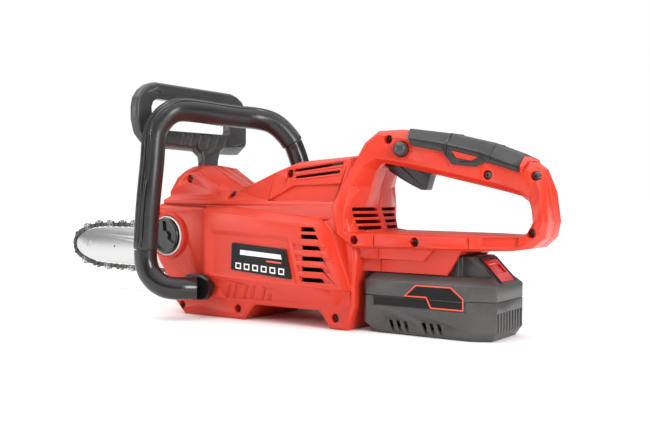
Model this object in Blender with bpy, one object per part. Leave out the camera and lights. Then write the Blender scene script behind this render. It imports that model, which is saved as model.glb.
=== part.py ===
"""Cordless chainsaw, built as the separate pieces it comes apart into on a bench.

Sizes are in millimetres and become metres when a mesh is made. +X points to the rear handle,
-X along the guide bar, -Y to the saw's left, +Y to its bar side, +Z up. The saw stands on Z = 0
and its two housing halves meet at Y = 0.
"""

import math

import bmesh
import bpy
from mathutils import Matrix, Vector

MM = 0.001
GAP = 0.3            # clearance between touching pieces
WALL = 3.0           # housing wall thickness
SEAM = 0.15          # each housing half stops this far from the mid-plane
PAST_SEAM = 6.0      # how far a half's volume runs over the seam before it is trimmed
HOLLOW_PAST = 9.0    # the same for the hollow inside it
BODY_HALF = 45.0     # half width of the motor housing
CREASE_Z = 111.0     # where the side of the housing turns into its sloping roof
BLOCK_Y = 60.0       # left face of the raised motor cover
TANK_FACE_Y = 52.0   # left face of the housing over the oil tank

DRIVE_Z = 55.0       # height of bar, spindle and motor axes
SPINDLE_X = 40.0
BAR_Y = 53.25        # mid-plane of bar, chain and sprockets
BAR_THICKNESS = 3.5
BAR_TIP_X = -305.0
BAR_HALF = 22.5
CHAIN_HEIGHT = 8.5
CHAIN_HALF_WIDTH = 2.9
SPROCKET_R = 18.0
STUD_X = -6.0
TENSION_PIN = (-12.0, 39.5)     # X, Z

GEAR_MODULE = 1.5
GEAR_TEETH = 33
PINION_TEETH = 12
MOTOR_X = SPINDLE_X + GEAR_MODULE * (GEAR_TEETH + PINION_TEETH) / 2.0
SHAFT_R = 2.5
SPINDLE_R = 5.0

TUBE_R = 9.8
TUBE_CORE_R = 8.2
HANDLE_GRIP_R = 11.1
PAD_R = 11.3
PAD_MIDDLE = (-0.3, 30.0)       # X, Z of the round end of the pad under that fastening
SOCKET = (2.7, 27.9)            # X, Z of the front handle's left fastening
OIL_CAP = (-47.5, 76.0)         # X, Z of the oil filler
GUARD_PIVOT = (-50.0, 118.0)    # X, Z
GUARD_PIN_R = 3.0
TRIGGER_PIVOT = (177.0, 146.5)  # X, Z
LOCK_BUTTON = (193.5, 156.3)    # X, Z

BATTERY_FRONT_X = 164.5
BATTERY_REAR_X = 284.2
BATTERY_HALF = 38.0
BATTERY_SEAM_Z = 32.0
DECK_Z = 51.0
TOWER_TOP_Z = 67.5
CELL_R = 9.2
CELL_PITCH = 18.6

# X, Z and depth of the screw's seat, measured from the mid-plane
SCREWS = (
    (-37.0, 8.5, 38.0), (33.0, 10.0, 38.0), (142.0, 10.0, 38.0), (17.0, 115.5, 28.0),
    (84.0, 136.0, 25.0), (-38.5, 132.0, 27.0), (161.0, 78.5, 36.0), (181.0, 165.0, 15.0),
    (270.5, 134.0, 13.0), (310.5, 133.0, 12.0), (309.8, 88.0, 13.0), (217.5, 78.5, 34.0),
)
SCREW_HEAD_R = 3.4
SCREW_SHANK_R = 1.7
SCREW_RECESS_R = 4.0
BOSS_R = 5.2

MATERIALS = {
    "red_plastic": ((0.78, 0.07, 0.035), 0.38, 0.0),
    "black_plastic": ((0.035, 0.035, 0.037), 0.5, 0.0),
    "soft_black": ((0.045, 0.045, 0.047), 0.72, 0.0),
    "battery_plastic": ((0.075, 0.075, 0.078), 0.6, 0.0),
    "white_plastic": ((0.85, 0.84, 0.8), 0.4, 0.0),
    "steel": ((0.62, 0.62, 0.63), 0.32, 1.0),
    "dark_steel": ((0.16, 0.16, 0.17), 0.4, 1.0),
    "aluminium": ((0.72, 0.72, 0.73), 0.4, 1.0),
    "copper": ((0.75, 0.36, 0.18), 0.35, 1.0),
    "board_green": ((0.03, 0.22, 0.08), 0.5, 0.0),
}


# ---------------------------------------------------------------- mesh helpers

def clear_scene():
    for item in list(bpy.data.objects):
        bpy.data.objects.remove(item, do_unlink=True)


def paint(obj, key):
    """Give the object its own material of the named kind."""
    colour, roughness, metallic = MATERIALS[key]
    mat = bpy.data.materials.new(obj.name + "_" + key)
    mat.use_nodes = True
    shader = mat.node_tree.nodes["Principled BSDF"]
    shader.inputs["Base Color"].default_value = (*colour, 1.0)
    shader.inputs["Roughness"].default_value = roughness
    shader.inputs["Metallic"].default_value = metallic
    obj.data.materials.clear()
    obj.data.materials.append(mat)


def make(name, points, faces):
    mesh = bpy.data.meshes.new(name)
    mesh.from_pydata([[c * MM for c in p] for p in points], [], faces)
    shape = bmesh.new()
    shape.from_mesh(mesh)
    bmesh.ops.recalc_face_normals(shape, faces=shape.faces)
    shape.to_mesh(mesh)
    shape.free()
    obj = bpy.data.objects.new(name, mesh)
    bpy.context.scene.collection.objects.link(obj)
    return obj


def loft(name, rings, loop=False):
    """Skin equal rings of points; the ends are capped unless the rings close into a loop."""
    count = len(rings[0])
    points = [p for ring in rings for p in ring]
    faces = []
    for r in range(len(rings) if loop else len(rings) - 1):
        here = r * count
        there = (r + 1) % len(rings) * count
        for i in range(count):
            j = (i + 1) % count
            faces.append([here + i, here + j, there + j])
            faces.append([here + i, there + j, there + i])
    if not loop:
        faces.append(list(range(count))[::-1])
        faces.append([(len(rings) - 1) * count + i for i in range(count)])
    return make(name, points, faces)


def place(axis, along, a, b):
    """A point from its coordinate along an axis and its two others, in X, Y, Z order."""
    return {"X": (along, a, b), "Y": (a, along, b), "Z": (a, b, along)}[axis]


def prism(name, outline, low, high, axis="Y"):
    return loft(name, [[place(axis, level, a, b) for a, b in outline] for level in (low, high)])


def layers(name, stations, axis="Y"):
    """Loft of flat outlines: stations are (position along the axis, outline)."""
    return loft(name, [[place(axis, level, a, b) for a, b in line] for level, line in stations])


def box(name, low, high):
    corners = [(low[0], low[2]), (high[0], low[2]), (high[0], high[2]), (low[0], high[2])]
    return prism(name, corners, low[1], high[1])


def lathe(name, profile, centre, axis="Y", segments=24):
    """Turn (position, radius) points about an axis through centre; no end at radius 0 makes a ring."""
    points, rings = [], []
    for along, radius in profile:
        if radius == 0:
            rings.append([len(points)])
            points.append(place(axis, along, *centre))
            continue
        rings.append(list(range(len(points), len(points) + segments)))
        for k in range(segments):
            turn = 2 * math.pi * k / segments
            a = centre[0] + radius * math.cos(turn)
            b = centre[1] + radius * math.sin(turn)
            points.append(place(axis, along, a, b))
    pairs = list(zip(rings, rings[1:]))
    if profile[0][1] and profile[-1][1]:
        pairs.append((rings[-1], rings[0]))
    faces = []
    for first, second in pairs:
        for k in range(segments):
            n = (k + 1) % segments
            quad = [first[k % len(first)], first[n % len(first)],
                    second[n % len(second)], second[k % len(second)]]
            faces.append(list(dict.fromkeys(quad)))
    return make(name, points, faces)


def rod(name, low, high, radius, centre, axis="Y", segments=24):
    return lathe(name, [(low, 0), (low, radius), (high, radius), (high, 0)], centre, axis, segments)


def sleeve(name, low, high, inner, outer, centre, axis="Y", segments=24):
    profile = [(low, inner), (low, outer), (high, outer), (high, inner)]
    return lathe(name, profile, centre, axis, segments)


def circle(radius, segments, centre=(0.0, 0.0), start=0.0):
    turns = [start + 2 * math.pi * k / segments for k in range(segments)]
    return [(centre[0] + radius * math.cos(t), centre[1] + radius * math.sin(t)) for t in turns]


def frames(path):
    """A pair of directions across the path at each point, turning as little as possible."""
    pts = [Vector(p) for p in path]
    side = Vector((1.0, 0.0, 0.0))
    found = []
    for i in range(len(pts)):
        ahead = (pts[min(i + 1, len(pts) - 1)] - pts[max(i - 1, 0)]).normalized()
        side = (side - ahead * side.dot(ahead)).normalized()
        found.append((side, ahead.cross(side)))
    return found


def sweep(name, path, radius, sides=14, ribs=0.0):
    """Tube along a path; ribs makes every second side stand proud by that much."""
    rings = []
    for centre, (u, v) in zip(path, frames(path)):
        ring = []
        for k in range(sides):
            turn = 2 * math.pi * k / sides
            reach = radius - (ribs if k % 2 else 0.0)
            ring.append(tuple(Vector(centre) + (u * math.cos(turn) + v * math.sin(turn)) * reach))
        rings.append(ring)
    return loft(name, rings)


def tidy_mesh(mesh):
    """Weld the near-duplicate points that a cut leaves behind, and flatten what is coplanar."""
    shape = bmesh.new()
    shape.from_mesh(mesh)
    bmesh.ops.remove_doubles(shape, verts=shape.verts, dist=0.01 * MM)
    bmesh.ops.dissolve_degenerate(shape, edges=shape.edges, dist=0.01 * MM)
    shape.to_mesh(mesh)
    shape.free()


def boolean(target, tool, operation):
    """Join, cut or intersect target with tool, and use the tool up.

    The manifold solver keeps the result closed where the housing's warped faces nearly touch.
    """
    modifier = target.modifiers.new("boolean", "BOOLEAN")
    modifier.operation = operation
    modifier.solver = "MANIFOLD"
    modifier.object = tool
    bpy.context.view_layer.update()
    graph = bpy.context.evaluated_depsgraph_get()
    mesh = bpy.data.meshes.new_from_object(target.evaluated_get(graph))
    target.modifiers.clear()
    target.data = mesh
    bpy.data.objects.remove(tool, do_unlink=True)
    tidy_mesh(mesh)
    return target


def join(target, *tools):
    for tool in tools:
        boolean(target, tool, "UNION")
    return target


def cut(target, *tools):
    for tool in tools:
        boolean(target, tool, "DIFFERENCE")
    return target


def inset(outline, distance):
    """Move every edge of a closed outline inwards by distance."""
    area = sum(a[0] * b[1] - b[0] * a[1] for a, b in zip(outline, outline[1:] + outline[:1]))
    sign = 1.0 if area > 0 else -1.0
    moved = []
    for i, here in enumerate(outline):
        before = Vector(outline[i - 1])
        after = Vector(outline[(i + 1) % len(outline)])
        here = Vector(here)
        first = (here - before).normalized()
        second = (after - here).normalized()
        n1 = Vector((-first.y, first.x)) * sign
        n2 = Vector((-second.y, second.x)) * sign
        mitre = (n1 + n2) / max(0.35, 1.0 + n1.dot(n2))
        moved.append(tuple(here + mitre * distance))
    return moved


def smooth_path(points, steps):
    """Points of a Catmull-Rom curve through the given ones."""
    pts = [Vector(p) for p in points]
    ends = [pts[0] * 2 - pts[1]] + pts + [pts[-1] * 2 - pts[-2]]
    path = []
    for i in range(1, len(ends) - 2):
        a, b, c, d = ends[i - 1:i + 3]
        for k in range(steps):
            t = k / steps
            path.append(0.5 * (2 * b + (c - a) * t + (2 * a - 5 * b + 4 * c - d) * t * t
                               + (3 * b - a - 3 * c + d) * t ** 3))
    path.append(pts[-1])
    return [tuple(p) for p in path]


def finish(obj, key, pivot=None):
    """Paint a finished piece and put its origin on its joint axis."""
    paint(obj, key)
    if pivot:
        spot = Vector(pivot) * MM
        obj.data.transform(Matrix.Translation(-spot))
        obj.location = spot
    obj.data.set_sharp_from_angle(angle=math.radians(35))
    return obj


# ---------------------------------------------------------------- housing volumes

def body_outlines():
    """Side outline of the motor housing at its seam, part way out and at its side."""
    base = [(160, 22), (154, 0), (136, 0), (125, 15), (52, 15), (39, 0), (-35, 0),
            (-47.5, 12), (-51, 20), (-55, 36), (-66, 50), (-70, 56)]
    seam = [(-63, 118), (20, 121.5), (67, 142.3), (80, 147.5), (150, 152.5),
            (160, 124), (159, 107), (166, 87), (163, 60), (160, 40)] + base
    middle = [(-63, 117), (20, 119.5), (67, 138), (82, 143), (146, 149),
              (157, 122), (156, 107), (162, 86), (163, 60), (160, 40)] + base
    side = [(-64, CREASE_Z), (20, CREASE_Z), (67, CREASE_Z), (84, CREASE_Z), (136, CREASE_Z),
            (148, 108), (150, 104), (155, 84), (162.5, 60), (161, 40), (161, 22)] + base[1:]
    return seam, middle, side


def past_seam(shrink):
    return HOLLOW_PAST if shrink > 0 else PAST_SEAM


def body_volume(name, side, shrink):
    seam, middle, outer = (inset(line, shrink) for line in body_outlines())
    bevel = inset(outer, 2.5)
    stations = [(-past_seam(shrink), seam), (12, seam), (30, middle), (BODY_HALF - 2 - shrink, outer),
                (BODY_HALF - shrink, bevel if not shrink else outer)]
    return layers(name, [(side * y, line) for y, line in stations])


def hump_volume(name, side, shrink):
    """Housing of the chain brake, standing on the front of the roof."""
    low = CREASE_Z - 6 - shrink
    outer = [(-64, low), (-65, 119), (-55, 133), (-45, 139.5), (-32, 138), (1, 121), (1, low)]
    middle = [(-62, low), (-62.5, 120), (-52, 136), (-42, 144), (-27, 143.5), (7, 122), (7, low)]
    top = [(-61, low), (-61.5, 121), (-50, 138), (-40, 146.5)]
    crest = top + [(-26, 145), (12, 124.5), (12, low)]
    crown = top + ([(-30, 145), (8, 124.5), (8, low)] if side > 0 else [(-22, 145), (15, 124.5), (15, low)])
    stations = [(-past_seam(shrink) + 0.5, crest), (13, crown), (25, middle), (33, outer)]
    trimmed = [(side * (y - (shrink if y > 0 else 0)), inset(line, shrink)) for y, line in stations]
    return layers(name, trimmed)


def handle_stations():
    """Outer X, Z, inner X, Z, half width, then outer and inner edge chamfers (in plane, across)."""
    round_edge = (5.0, 8.0)
    soft = (4.0, 6.0)
    deep = (8.0, 22.0)
    return [
        (135.5, 109, 159, 104, 46.2, soft, deep), (142, 127, 161, 124, 39.5, soft, deep),
        (150, 147, 167, 139, 32, soft, (7.0, 14.0)), (157.5, 163, 174, 145, 28, soft, round_edge),
        (170, 173, 184, 143, 25, soft, round_edge), (190, 173.9, 198, 140, 22, (8, 10), round_edge),
        (231, 168.1, 226, 133.6, 19, (9, 9), round_edge), (266, 159.8, 260, 126.0, 18, (9, 9), round_edge),
        (292, 150.3, 284, 120.5, 18, (9, 10), round_edge), (304, 144.5, 298, 117, 18.5, (6, 9), soft),
        (312, 138.5, 304.8, 112, 19, (6, 10), soft), (317, 123, 307.4, 104, 20.5, (3, 8), soft),
        (320.8, 97, 308.6, 95.5, 22.5, (2.5, 7), soft), (318.6, 84.5, 304.4, 88, 23, (4, 8), soft),
        (308.5, 75.5, 299.8, 85.3, 23.5, soft, (2, 4)), (296, 73.6, 291, 85, 27.5, (2, 3), (2, 4)),
        (262, 72.6, 262, 85, 40, (2, 3), (2, 4)), (160, 71.5, 166, 85, 46.2, (2, 3), (2, 4)),
        (143, 82, 158, 88, 46.2, (2, 3), deep),
    ]


def handle_volume(name, side, shrink):
    """Half of the rear handle's closed loop; a negative shrink grows it."""
    rings = []
    for ox, oz, ix, iz, half, outer, inner in handle_stations():
        out, inn = Vector((ox, oz)), Vector((ix, iz))
        across = (inn - out).normalized()
        out, inn = out + across * shrink, inn - across * shrink
        half = half - shrink
        past = -past_seam(shrink) + 1.0
        ring = [(out, past), (out, half - outer[1]), (out + across * outer[0], half),
                (inn - across * inner[0], half), (inn, half - inner[1]), (inn, past)]
        rings.append([(p.x, side * y, p.y) for p, y in ring])
    return loft(name, rings, loop=True)


def block_volume(name, shrink):
    """Raised motor cover on the left side."""
    foot = [(-9, 106), (19, 106), (75, 102), (120, 98), (130, 94), (137, 86), (159, 34),
            (143, 19), (-3, 17)]
    face = [(4, 101), (32, 100), (76, 96), (119, 92), (128, 91), (135, 85), (157.5, 36.5),
            (146, 36.5), (4, 42)]
    stations = [(BODY_HALF - 3 - shrink, foot), (BODY_HALF - 1 - shrink, foot), (BLOCK_Y - shrink, face)]
    return layers(name, [(-y, inset(line, shrink)) for y, line in stations])


def tank_cover_volume(name, shrink):
    """Lower, flat-faced front of the raised cover, over the oil tank."""
    foot = [(-67, 107), (20, 106), (20, 17), (-50, 20.5), (-55, 36), (-66, 50), (-69.5, 56)]
    face = [(-61, 103), (16, 102), (16, 21), (-46, 23), (-51, 38), (-61, 51), (-64, 57)]
    stations = [(BODY_HALF - 3.5 - shrink, foot), (BODY_HALF - 0.5 - shrink, foot),
                (TANK_FACE_Y - shrink, face)]
    return layers(name, [(-y, inset(line, shrink)) for y, line in stations])


def rail_ledges(name, side):
    """Stepped skirt under the lower handle bar, which takes the battery's rails."""
    upper = [(150, 63), (223, 63), (232, 73), (150, 73)]
    lower = [(152, 51.6), (242, 51.6), (255, 73.5), (152, 73.5)]
    ledge = prism(name, upper, side * -PAST_SEAM, side * 36.5)
    return join(ledge, prism("ledge_lower", lower, side * (-PAST_SEAM - 0.5), side * 31))


def outer_volume(name, side, shrink):
    shape = body_volume(name, side, shrink)
    join(shape, handle_volume("handle_half", side, shrink), hump_volume("hump_half", side, shrink))
    if side < 0:
        join(shape, tank_cover_volume("tank_cover", shrink), block_volume("motor_cover", shrink))
    return shape


def hollow_volume(side):
    """Everything inside the walls of a half, less the solid screw bosses."""
    space = outer_volume("hollow", side, WALL)
    for x, z, _ in SCREWS:
        cut(space, rod("boss", side * -12, side * 70, BOSS_R, (x, z), segments=8))
    if side < 0:
        cut(space, rod("socket_wall", -80, -47, 16.5, SOCKET, segments=20))
    return space


def half_shell(name, side):
    shell = outer_volume(name, side, 0.0)
    join(shell, rail_ledges("ledges", side))
    cut(shell, hollow_volume(side))
    rail_space = [(162.5, 40), (270, 40), (270, 68.6), (162.5, 68.6)]
    cut(shell, prism("rail_space", rail_space, side * -11, side * 27))
    low, high = sorted((side * SEAM, side * -80))
    cut(shell, box("other_half", (-90, low, -20), (340, high, 240)))
    return shell


def screw_holes(shell, side):
    for x, z, seat in SCREWS:
        if side < 0:
            cut(shell, rod("recess", -80, -seat, SCREW_RECESS_R, (x, z), segments=10))
            cut(shell, rod("clearance", -seat - 1, 2, SCREW_SHANK_R + GAP, (x, z), segments=8))
        else:
            cut(shell, rod("pilot", -2, 10.5, SCREW_SHANK_R + GAP, (x, z), segments=8))


def wall_vents(shell, side):
    """Four slots in the rear-facing wall in front of the hand opening."""
    for k in range(4):
        z = 104.6 - 5.4 * k
        low, high = sorted((side * 4.0, side * (37.2 - k)))
        cut(shell, box("wall_vent", (140, low, z - 1.5), (175, high, z + 1.5)))


def roof_vents(shell, side):
    """Two long slots high on the slope of the roof."""
    low, high = sorted((side * 22.0, side * 50.0))
    for first, z_first, last, z_last in ((88.0, 138.6, 141.0, 145.0), (91.0, 132.6, 139.0, 137.4)):
        slot = [(first, z_first - 1.2), (last, z_last - 1.2), (last, z_last + 1.2), (first, z_first + 1.2)]
        cut(shell, prism("roof_vent", slot, low, high))


def trigger_opening(shell):
    opening = [(169.5, 136), (231, 128), (231, 150), (169.5, 156)]
    cut(shell, prism("trigger_slot", opening, -6.8, 6.8))
    pin_seat = [(171, 143), (183, 141), (183, 153), (171, 153)]
    cut(shell, prism("pin_seat", pin_seat, -13.3, 13.3))


def guard_opening(shell):
    opening = [(-75, 121), (-44.6, 121), (-44.6, 160), (-75, 160)]
    cut(shell, prism("guard_slot", opening, -9.5, 19.5))


# ---------------------------------------------------------------- left housing details

def label_recess(shell):
    recess = [(11, 84), (102, 80), (113, 37), (11, 39.5)]
    rise = inset(recess, 4.0)
    cut(shell, layers("recess", [(-BLOCK_Y - 2, recess), (-BLOCK_Y, recess), (-BLOCK_Y + 1.8, rise)]))


def side_vents(shell):
    """Two short and four long slots in the motor cover, growing with its slanted rear edge."""
    ends = ((87.0, 130.0), (80.5, 133.0), (71.0, 134.5), (61.6, 138.5), (52.4, 138.7), (43.2, 138.7))
    for k, (z, rear) in enumerate(ends):
        left = 115.5 if k < 2 else 117.0
        slot = [(left, z - 1.9), (rear + 1.2, z - 1.9), (rear - 1.5, z + 1.9), (left, z + 1.9)]
        cut(shell, prism("side_vent", slot, -66, -54))


def side_grooves(shell):
    """Slanted grooves in the lower bevel of the motor cover."""
    for k in range(6):
        x = 20 + 10.3 * k - (2.0 if k % 2 else 0.0)
        levels = []
        for z in (20.5, 34.0 if k < 5 else 27.5):
            floor = -(BODY_HALF + (z - 18.0) * 0.64 - 1.4)
            left = x + 0.75 * (z - 20.5)
            levels.append((z, [(left, -66), (left + 2.2, -66), (left + 2.2, floor), (left, floor)]))
        cut(shell, layers("groove", levels, axis="Z"))


def filler_opening(shell):
    join(shell, rod("filler_lip", -55.5, -44.6, 22.3, OIL_CAP, segments=28))
    cut(shell, rod("filler_hole", -70, -40, 19.3, OIL_CAP, segments=28))


def pad_outline(grow=0.0):
    """Pad of the front handle's left end, stretched towards the bend of the tube."""
    return [(x if x > PAD_MIDDLE[0] else x - 11.0, z) for x, z in circle(PAD_R + grow, 24, PAD_MIDDLE)]


def handle_seat(shell):
    cut(shell, prism("handle_seat", pad_outline(0.7), -80, -TANK_FACE_Y))
    cut(shell, rod("handle_screw_hole", -60, -42, SCREW_SHANK_R + GAP, SOCKET, segments=10))


def left_housing_shell():
    shell = half_shell("left_housing_shell", -1)
    filler_opening(shell)
    handle_seat(shell)
    label_recess(shell)
    side_vents(shell)
    side_grooves(shell)
    wall_vents(shell, -1)
    roof_vents(shell, -1)
    trigger_opening(shell)
    guard_opening(shell)
    cut(shell, rod("lock_hole", -40, -10, 6.7, LOCK_BUTTON, segments=20))
    screw_holes(shell, -1)
    finish(shell, "red_plastic")


def right_housing_shell():
    shell = half_shell("right_housing_shell", 1)
    wall_vents(shell, 1)
    roof_vents(shell, 1)
    trigger_opening(shell)
    guard_opening(shell)
    cut(shell, rod("bearing_hole", 35, 50, 11.5, (SPINDLE_X, DRIVE_Z), segments=24))
    screw_holes(shell, 1)
    finish(shell, "red_plastic")


def housing_screws():
    for number, (x, z, seat) in enumerate(SCREWS, 1):
        head = -seat - GAP
        profile = [(head - 2.6, 0), (head - 2.6, SCREW_HEAD_R - 0.6), (head - 2.0, SCREW_HEAD_R),
                   (head, SCREW_HEAD_R), (head, SCREW_SHANK_R), (8.5, SCREW_SHANK_R), (10.0, 0)]
        screw = lathe("housing_screw_%02d" % number, profile, (x, z), segments=8)
        finish(screw, "dark_steel")


# ---------------------------------------------------------------- front handle and guard

def handle_path():
    """Centre line of the front handle, from its left fastening over the top to the right."""
    return [
        (2.7, -56, 27.9), (1.8, -63, 28), (-4.7, -76, 29), (-10.2, -83.5, 29.4), (-16.6, -90, 31.2),
        (-23.7, -94.5, 36.2), (-30.2, -97, 44.4), (-33.1, -98, 53.6), (-33.7, -98, 64.7),
        (-33.6, -98, 68.5), (-32, -97.5, 97), (-30.4, -96.5, 120), (-29.5, -94, 145), (-29.5, -92, 165.4),
        (-28.6, -90, 176), (-25, -86.5, 185), (-20.8, -80, 192.3), (-17.3, -70, 196), (-13.9, -46, 196.2),
        (-10.2, -21, 195.1), (-4.6, 3, 194.3), (-0.4, 14, 194.2), (5.1, 23, 193.2), (11.7, 31, 190.8),
        (18.3, 37.5, 185.3), (24, 43, 177.5), (27, 46, 172), (28.5, 47.8, 168.5), (30, 50, 162.7),
        (32.6, 52.5, 152.6), (35.8, 54.8, 137.2), (39, 55, 112.6), (40, 55, 98),
    ]


def front_handle():
    """Steel tube, moulded thicker where the grip does not cover it, with its fastening pads."""
    path = handle_path()
    first, last = 8, 27
    tube = sweep("front_handle_tube", path, TUBE_CORE_R)
    join(tube, sweep("lower_leg", path[:first + 1], TUBE_R), sweep("right_leg", path[last:], TUBE_R - 0.1))
    pad = prism("left_pad", pad_outline(), -63, -TANK_FACE_Y - GAP)
    join(tube, pad)
    cut(tube, rod("pad_recess", -110, -60, SCREW_RECESS_R, SOCKET, segments=12))
    cut(tube, rod("pad_hole", -61, -40, SCREW_SHANK_R + GAP, SOCKET, segments=10))
    cut(tube, rod("leg_hole", 40, 80, SCREW_SHANK_R + GAP, (40, 105), segments=10))
    finish(tube, "black_plastic")

    grip_path = path[first + 1:last]
    grip = sweep("front_handle_grip", grip_path, HANDLE_GRIP_R, sides=24, ribs=0.7)
    long_path = path[first:last + 1]
    cut(grip, sweep("grip_bore", long_path, TUBE_CORE_R + GAP + 0.1, sides=14))
    finish(grip, "soft_black")


def handle_screws():
    left = [(-60.3 - 2.6, 0), (-60.3 - 2.6, 3.0), (-60.3, SCREW_HEAD_R), (-60.3, SCREW_SHANK_R),
            (-47, SCREW_SHANK_R), (-47, 0)]
    finish(lathe("handle_screw_left", left, SOCKET, segments=12), "dark_steel")
    right = [(45.5, 0), (45.5, SCREW_SHANK_R), (65.2, SCREW_SHANK_R), (65.2, SCREW_HEAD_R), (67.7, 3.0),
             (67.7, 0)]
    finish(lathe("handle_screw_right", right, (40, 105), segments=12), "dark_steel")


def hand_guard():
    """Slotted plate across the saw in front of the handle, on a stem that pivots in the hump."""
    edge = [(-96.8, 187), (-96.8, 199), (-94.8, 208), (-89, 215.5), (-80.5, 221), (-71, 223.8), (40, 223.4),
            (50, 221), (58, 216.5), (63, 210.5), (65.5, 203), (65.8, 172)]
    front_line = [(-71, 161.5), (-84, 165.5), (-93, 174)] + edge
    front_line += [(64, 162.5), (60, 159.3), (45, 158.5), (30, 158.5), (24, 155.5), (20.5, 150), (18, 126),
                   (-5, 126), (-2.5, 149), (-4, 155), (-12, 160)]
    rear_line = [(-71, 165), (-83, 168), (-92, 176)] + edge
    rear_line += [(64.5, 168.5), (60, 166), (45, 165), (30, 164.5), (23, 161), (19.8, 152), (18, 126),
                  (-5, 126), (-4.6, 151), (-7, 159), (-14.5, 164)]
    slot = [(-60, 178.5), (-70, 183), (-77, 191), (-78, 199), (-75.5, 205), (-70, 208), (34, 207.8),
            (37, 206.3), (38, 203), (38, 184), (36.5, 180.5), (33, 179.3)]
    rear, front = -46.0, -57.0
    stations = [(front, inset(front_line, 2.0)), (front + 2, front_line), (rear - 2, rear_line),
                (rear, inset(rear_line, 2.0))]
    guard = layers("hand_guard", stations, axis="X")
    cut(guard, prism("guard_window", slot, front - 5, rear + 5, axis="X"))
    join(guard, rod("hub", -8.5, 18.5, 8.0, GUARD_PIVOT, segments=20))
    join(guard, box("stem_root", (front + 1, -5.2, 118), (rear - 1, 18.2, 130)))
    cut(guard, rod("pivot_bore", -20, 30, GUARD_PIN_R + 0.08, GUARD_PIVOT, segments=24))
    finish(guard, "black_plastic", (GUARD_PIVOT[0], 5, GUARD_PIVOT[1]))
    pin = rod("guard_pivot_pin", -29.5, 29.5, GUARD_PIN_R, GUARD_PIVOT, segments=24)
    finish(pin, "steel")


# ---------------------------------------------------------------- oil system

def oil_tank():
    outline = [(-57, 101), (11, 101), (11, 24), (-39, 24), (-46, 38), (-58, 52), (-61.5, 58), (-61.5, 92)]
    tank = prism("oil_tank", outline, -44, 9)
    join(tank, rod("neck", -55.2, -40, 18.9, OIL_CAP, segments=28))
    cut(tank, prism("tank_hollow", inset(outline, 2.2), -41.5, 6.5))
    cut(tank, rod("neck_bore", -60, -40, 12.5, OIL_CAP, segments=28))
    finish(tank, "white_plastic")


def oil_cap():
    face = -55.2 - GAP
    profile = [(face - 4.6, 0), (face - 4.6, 16.2), (face - 3.6, 17.4), (face, 17.4), (face, 12.1),
               (face + 9, 12.1), (face + 9, 9.6), (face - 1.4, 9.6), (face - 1.4, 0)]
    cap = lathe("oil_cap", profile, OIL_CAP, segments=28)
    for turn in (35.0, 215.0):
        middle = math.radians(turn)
        spot = (OIL_CAP[0] + 12.5 * math.cos(middle), OIL_CAP[1] + 12.5 * math.sin(middle))
        hollow = circle(9.5, 16, spot)
        cut(cap, prism("finger_recess", hollow, face - 8, face - 3.0))
    finish(cap, "black_plastic", (OIL_CAP[0], face, OIL_CAP[1]))


def oil_pump_and_hose():
    pump = box("oil_pump", (17, -2, 20), (34, 10.5, 32))
    join(pump, rod("pump_body", -6, 11.2, 5.0, (26.5, 31), segments=16))
    finish(pump, "dark_steel")
    route = [(12.4, -14, 28), (16, -13.5, 27), (19, -10, 25.5), (20, -6, 25), (20, -3, 25)]
    finish(sweep("oil_hose", smooth_path(route, 3), 2.2, sides=8), "soft_black")


# ---------------------------------------------------------------- bar, chain and brake

def bar_outline():
    """Guide bar seen from the side, in X and Z, tip first."""
    nose_x, nose_z = 54.0, BAR_HALF - 1.5
    top = []
    for k in range(9):
        turn = math.pi / 2 * k / 8
        x = BAR_TIP_X + nose_x * (1 - math.cos(turn)) ** 0.92
        top.append((x, nose_z * math.sin(turn) ** 0.86))
    top += [(-150, BAR_HALF), (-36, BAR_HALF), (2, 17.5), (11, 12), (14, 5)]
    lower = [(x, -z) for x, z in reversed(top) if z > 0]
    return [(x, z + DRIVE_Z) for x, z in top + lower]


def hull(points):
    """Convex outline round the points, anticlockwise."""
    points = sorted(set(points))

    def half(ordered):
        chain = []
        for p in ordered:
            while len(chain) > 1:
                a, b = chain[-2], chain[-1]
                turn = (b[0] - a[0]) * (p[1] - a[1]) - (b[1] - a[1]) * (p[0] - a[0])
                if turn > 1e-9:
                    break
                chain.pop()
            chain.append(p)
        return chain[:-1]

    return half(points) + half(points[::-1])


def guide_bar():
    bar = prism("guide_bar", bar_outline(), BAR_Y - BAR_THICKNESS / 2, BAR_Y + BAR_THICKNESS / 2)
    slot = circle(4.4, 16, (-26, DRIVE_Z))
    slot = [(x if x < -26 else x + 30, z) for x, z in slot]
    cut(bar, prism("stud_slot", slot, 40, 70))
    cut(bar, rod("pin_hole", 40, 70, 2.8, TENSION_PIN, segments=12))
    pocket = circle(12.6, 20, (BAR_TIP_X + 15, DRIVE_Z))
    cut(bar, prism("nose_pocket", pocket, BAR_Y - 0.9, BAR_Y + 0.9))
    mouth = [(BAR_TIP_X - 5, DRIVE_Z - 5), (BAR_TIP_X + 12, DRIVE_Z - 5),
             (BAR_TIP_X + 12, DRIVE_Z + 5), (BAR_TIP_X - 5, DRIVE_Z + 5)]
    cut(bar, prism("pocket_mouth", mouth, BAR_Y - 0.9, BAR_Y + 0.9))
    finish(bar, "steel", (STUD_X, BAR_Y, DRIVE_Z))
    pin = rod("tension_pin", BAR_Y - 1.5, BAR_Y + 9, 2.4, TENSION_PIN, segments=12)
    finish(pin, "dark_steel", (TENSION_PIN[0], BAR_Y, TENSION_PIN[1]))
    wheel = star(8, 9.6, 12.0, 0.5, (BAR_TIP_X + 15, DRIVE_Z))
    nose = prism("nose_sprocket", wheel, BAR_Y - 0.55, BAR_Y + 0.55)
    finish(nose, "dark_steel", (BAR_TIP_X + 15, BAR_Y, DRIVE_Z))


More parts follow.
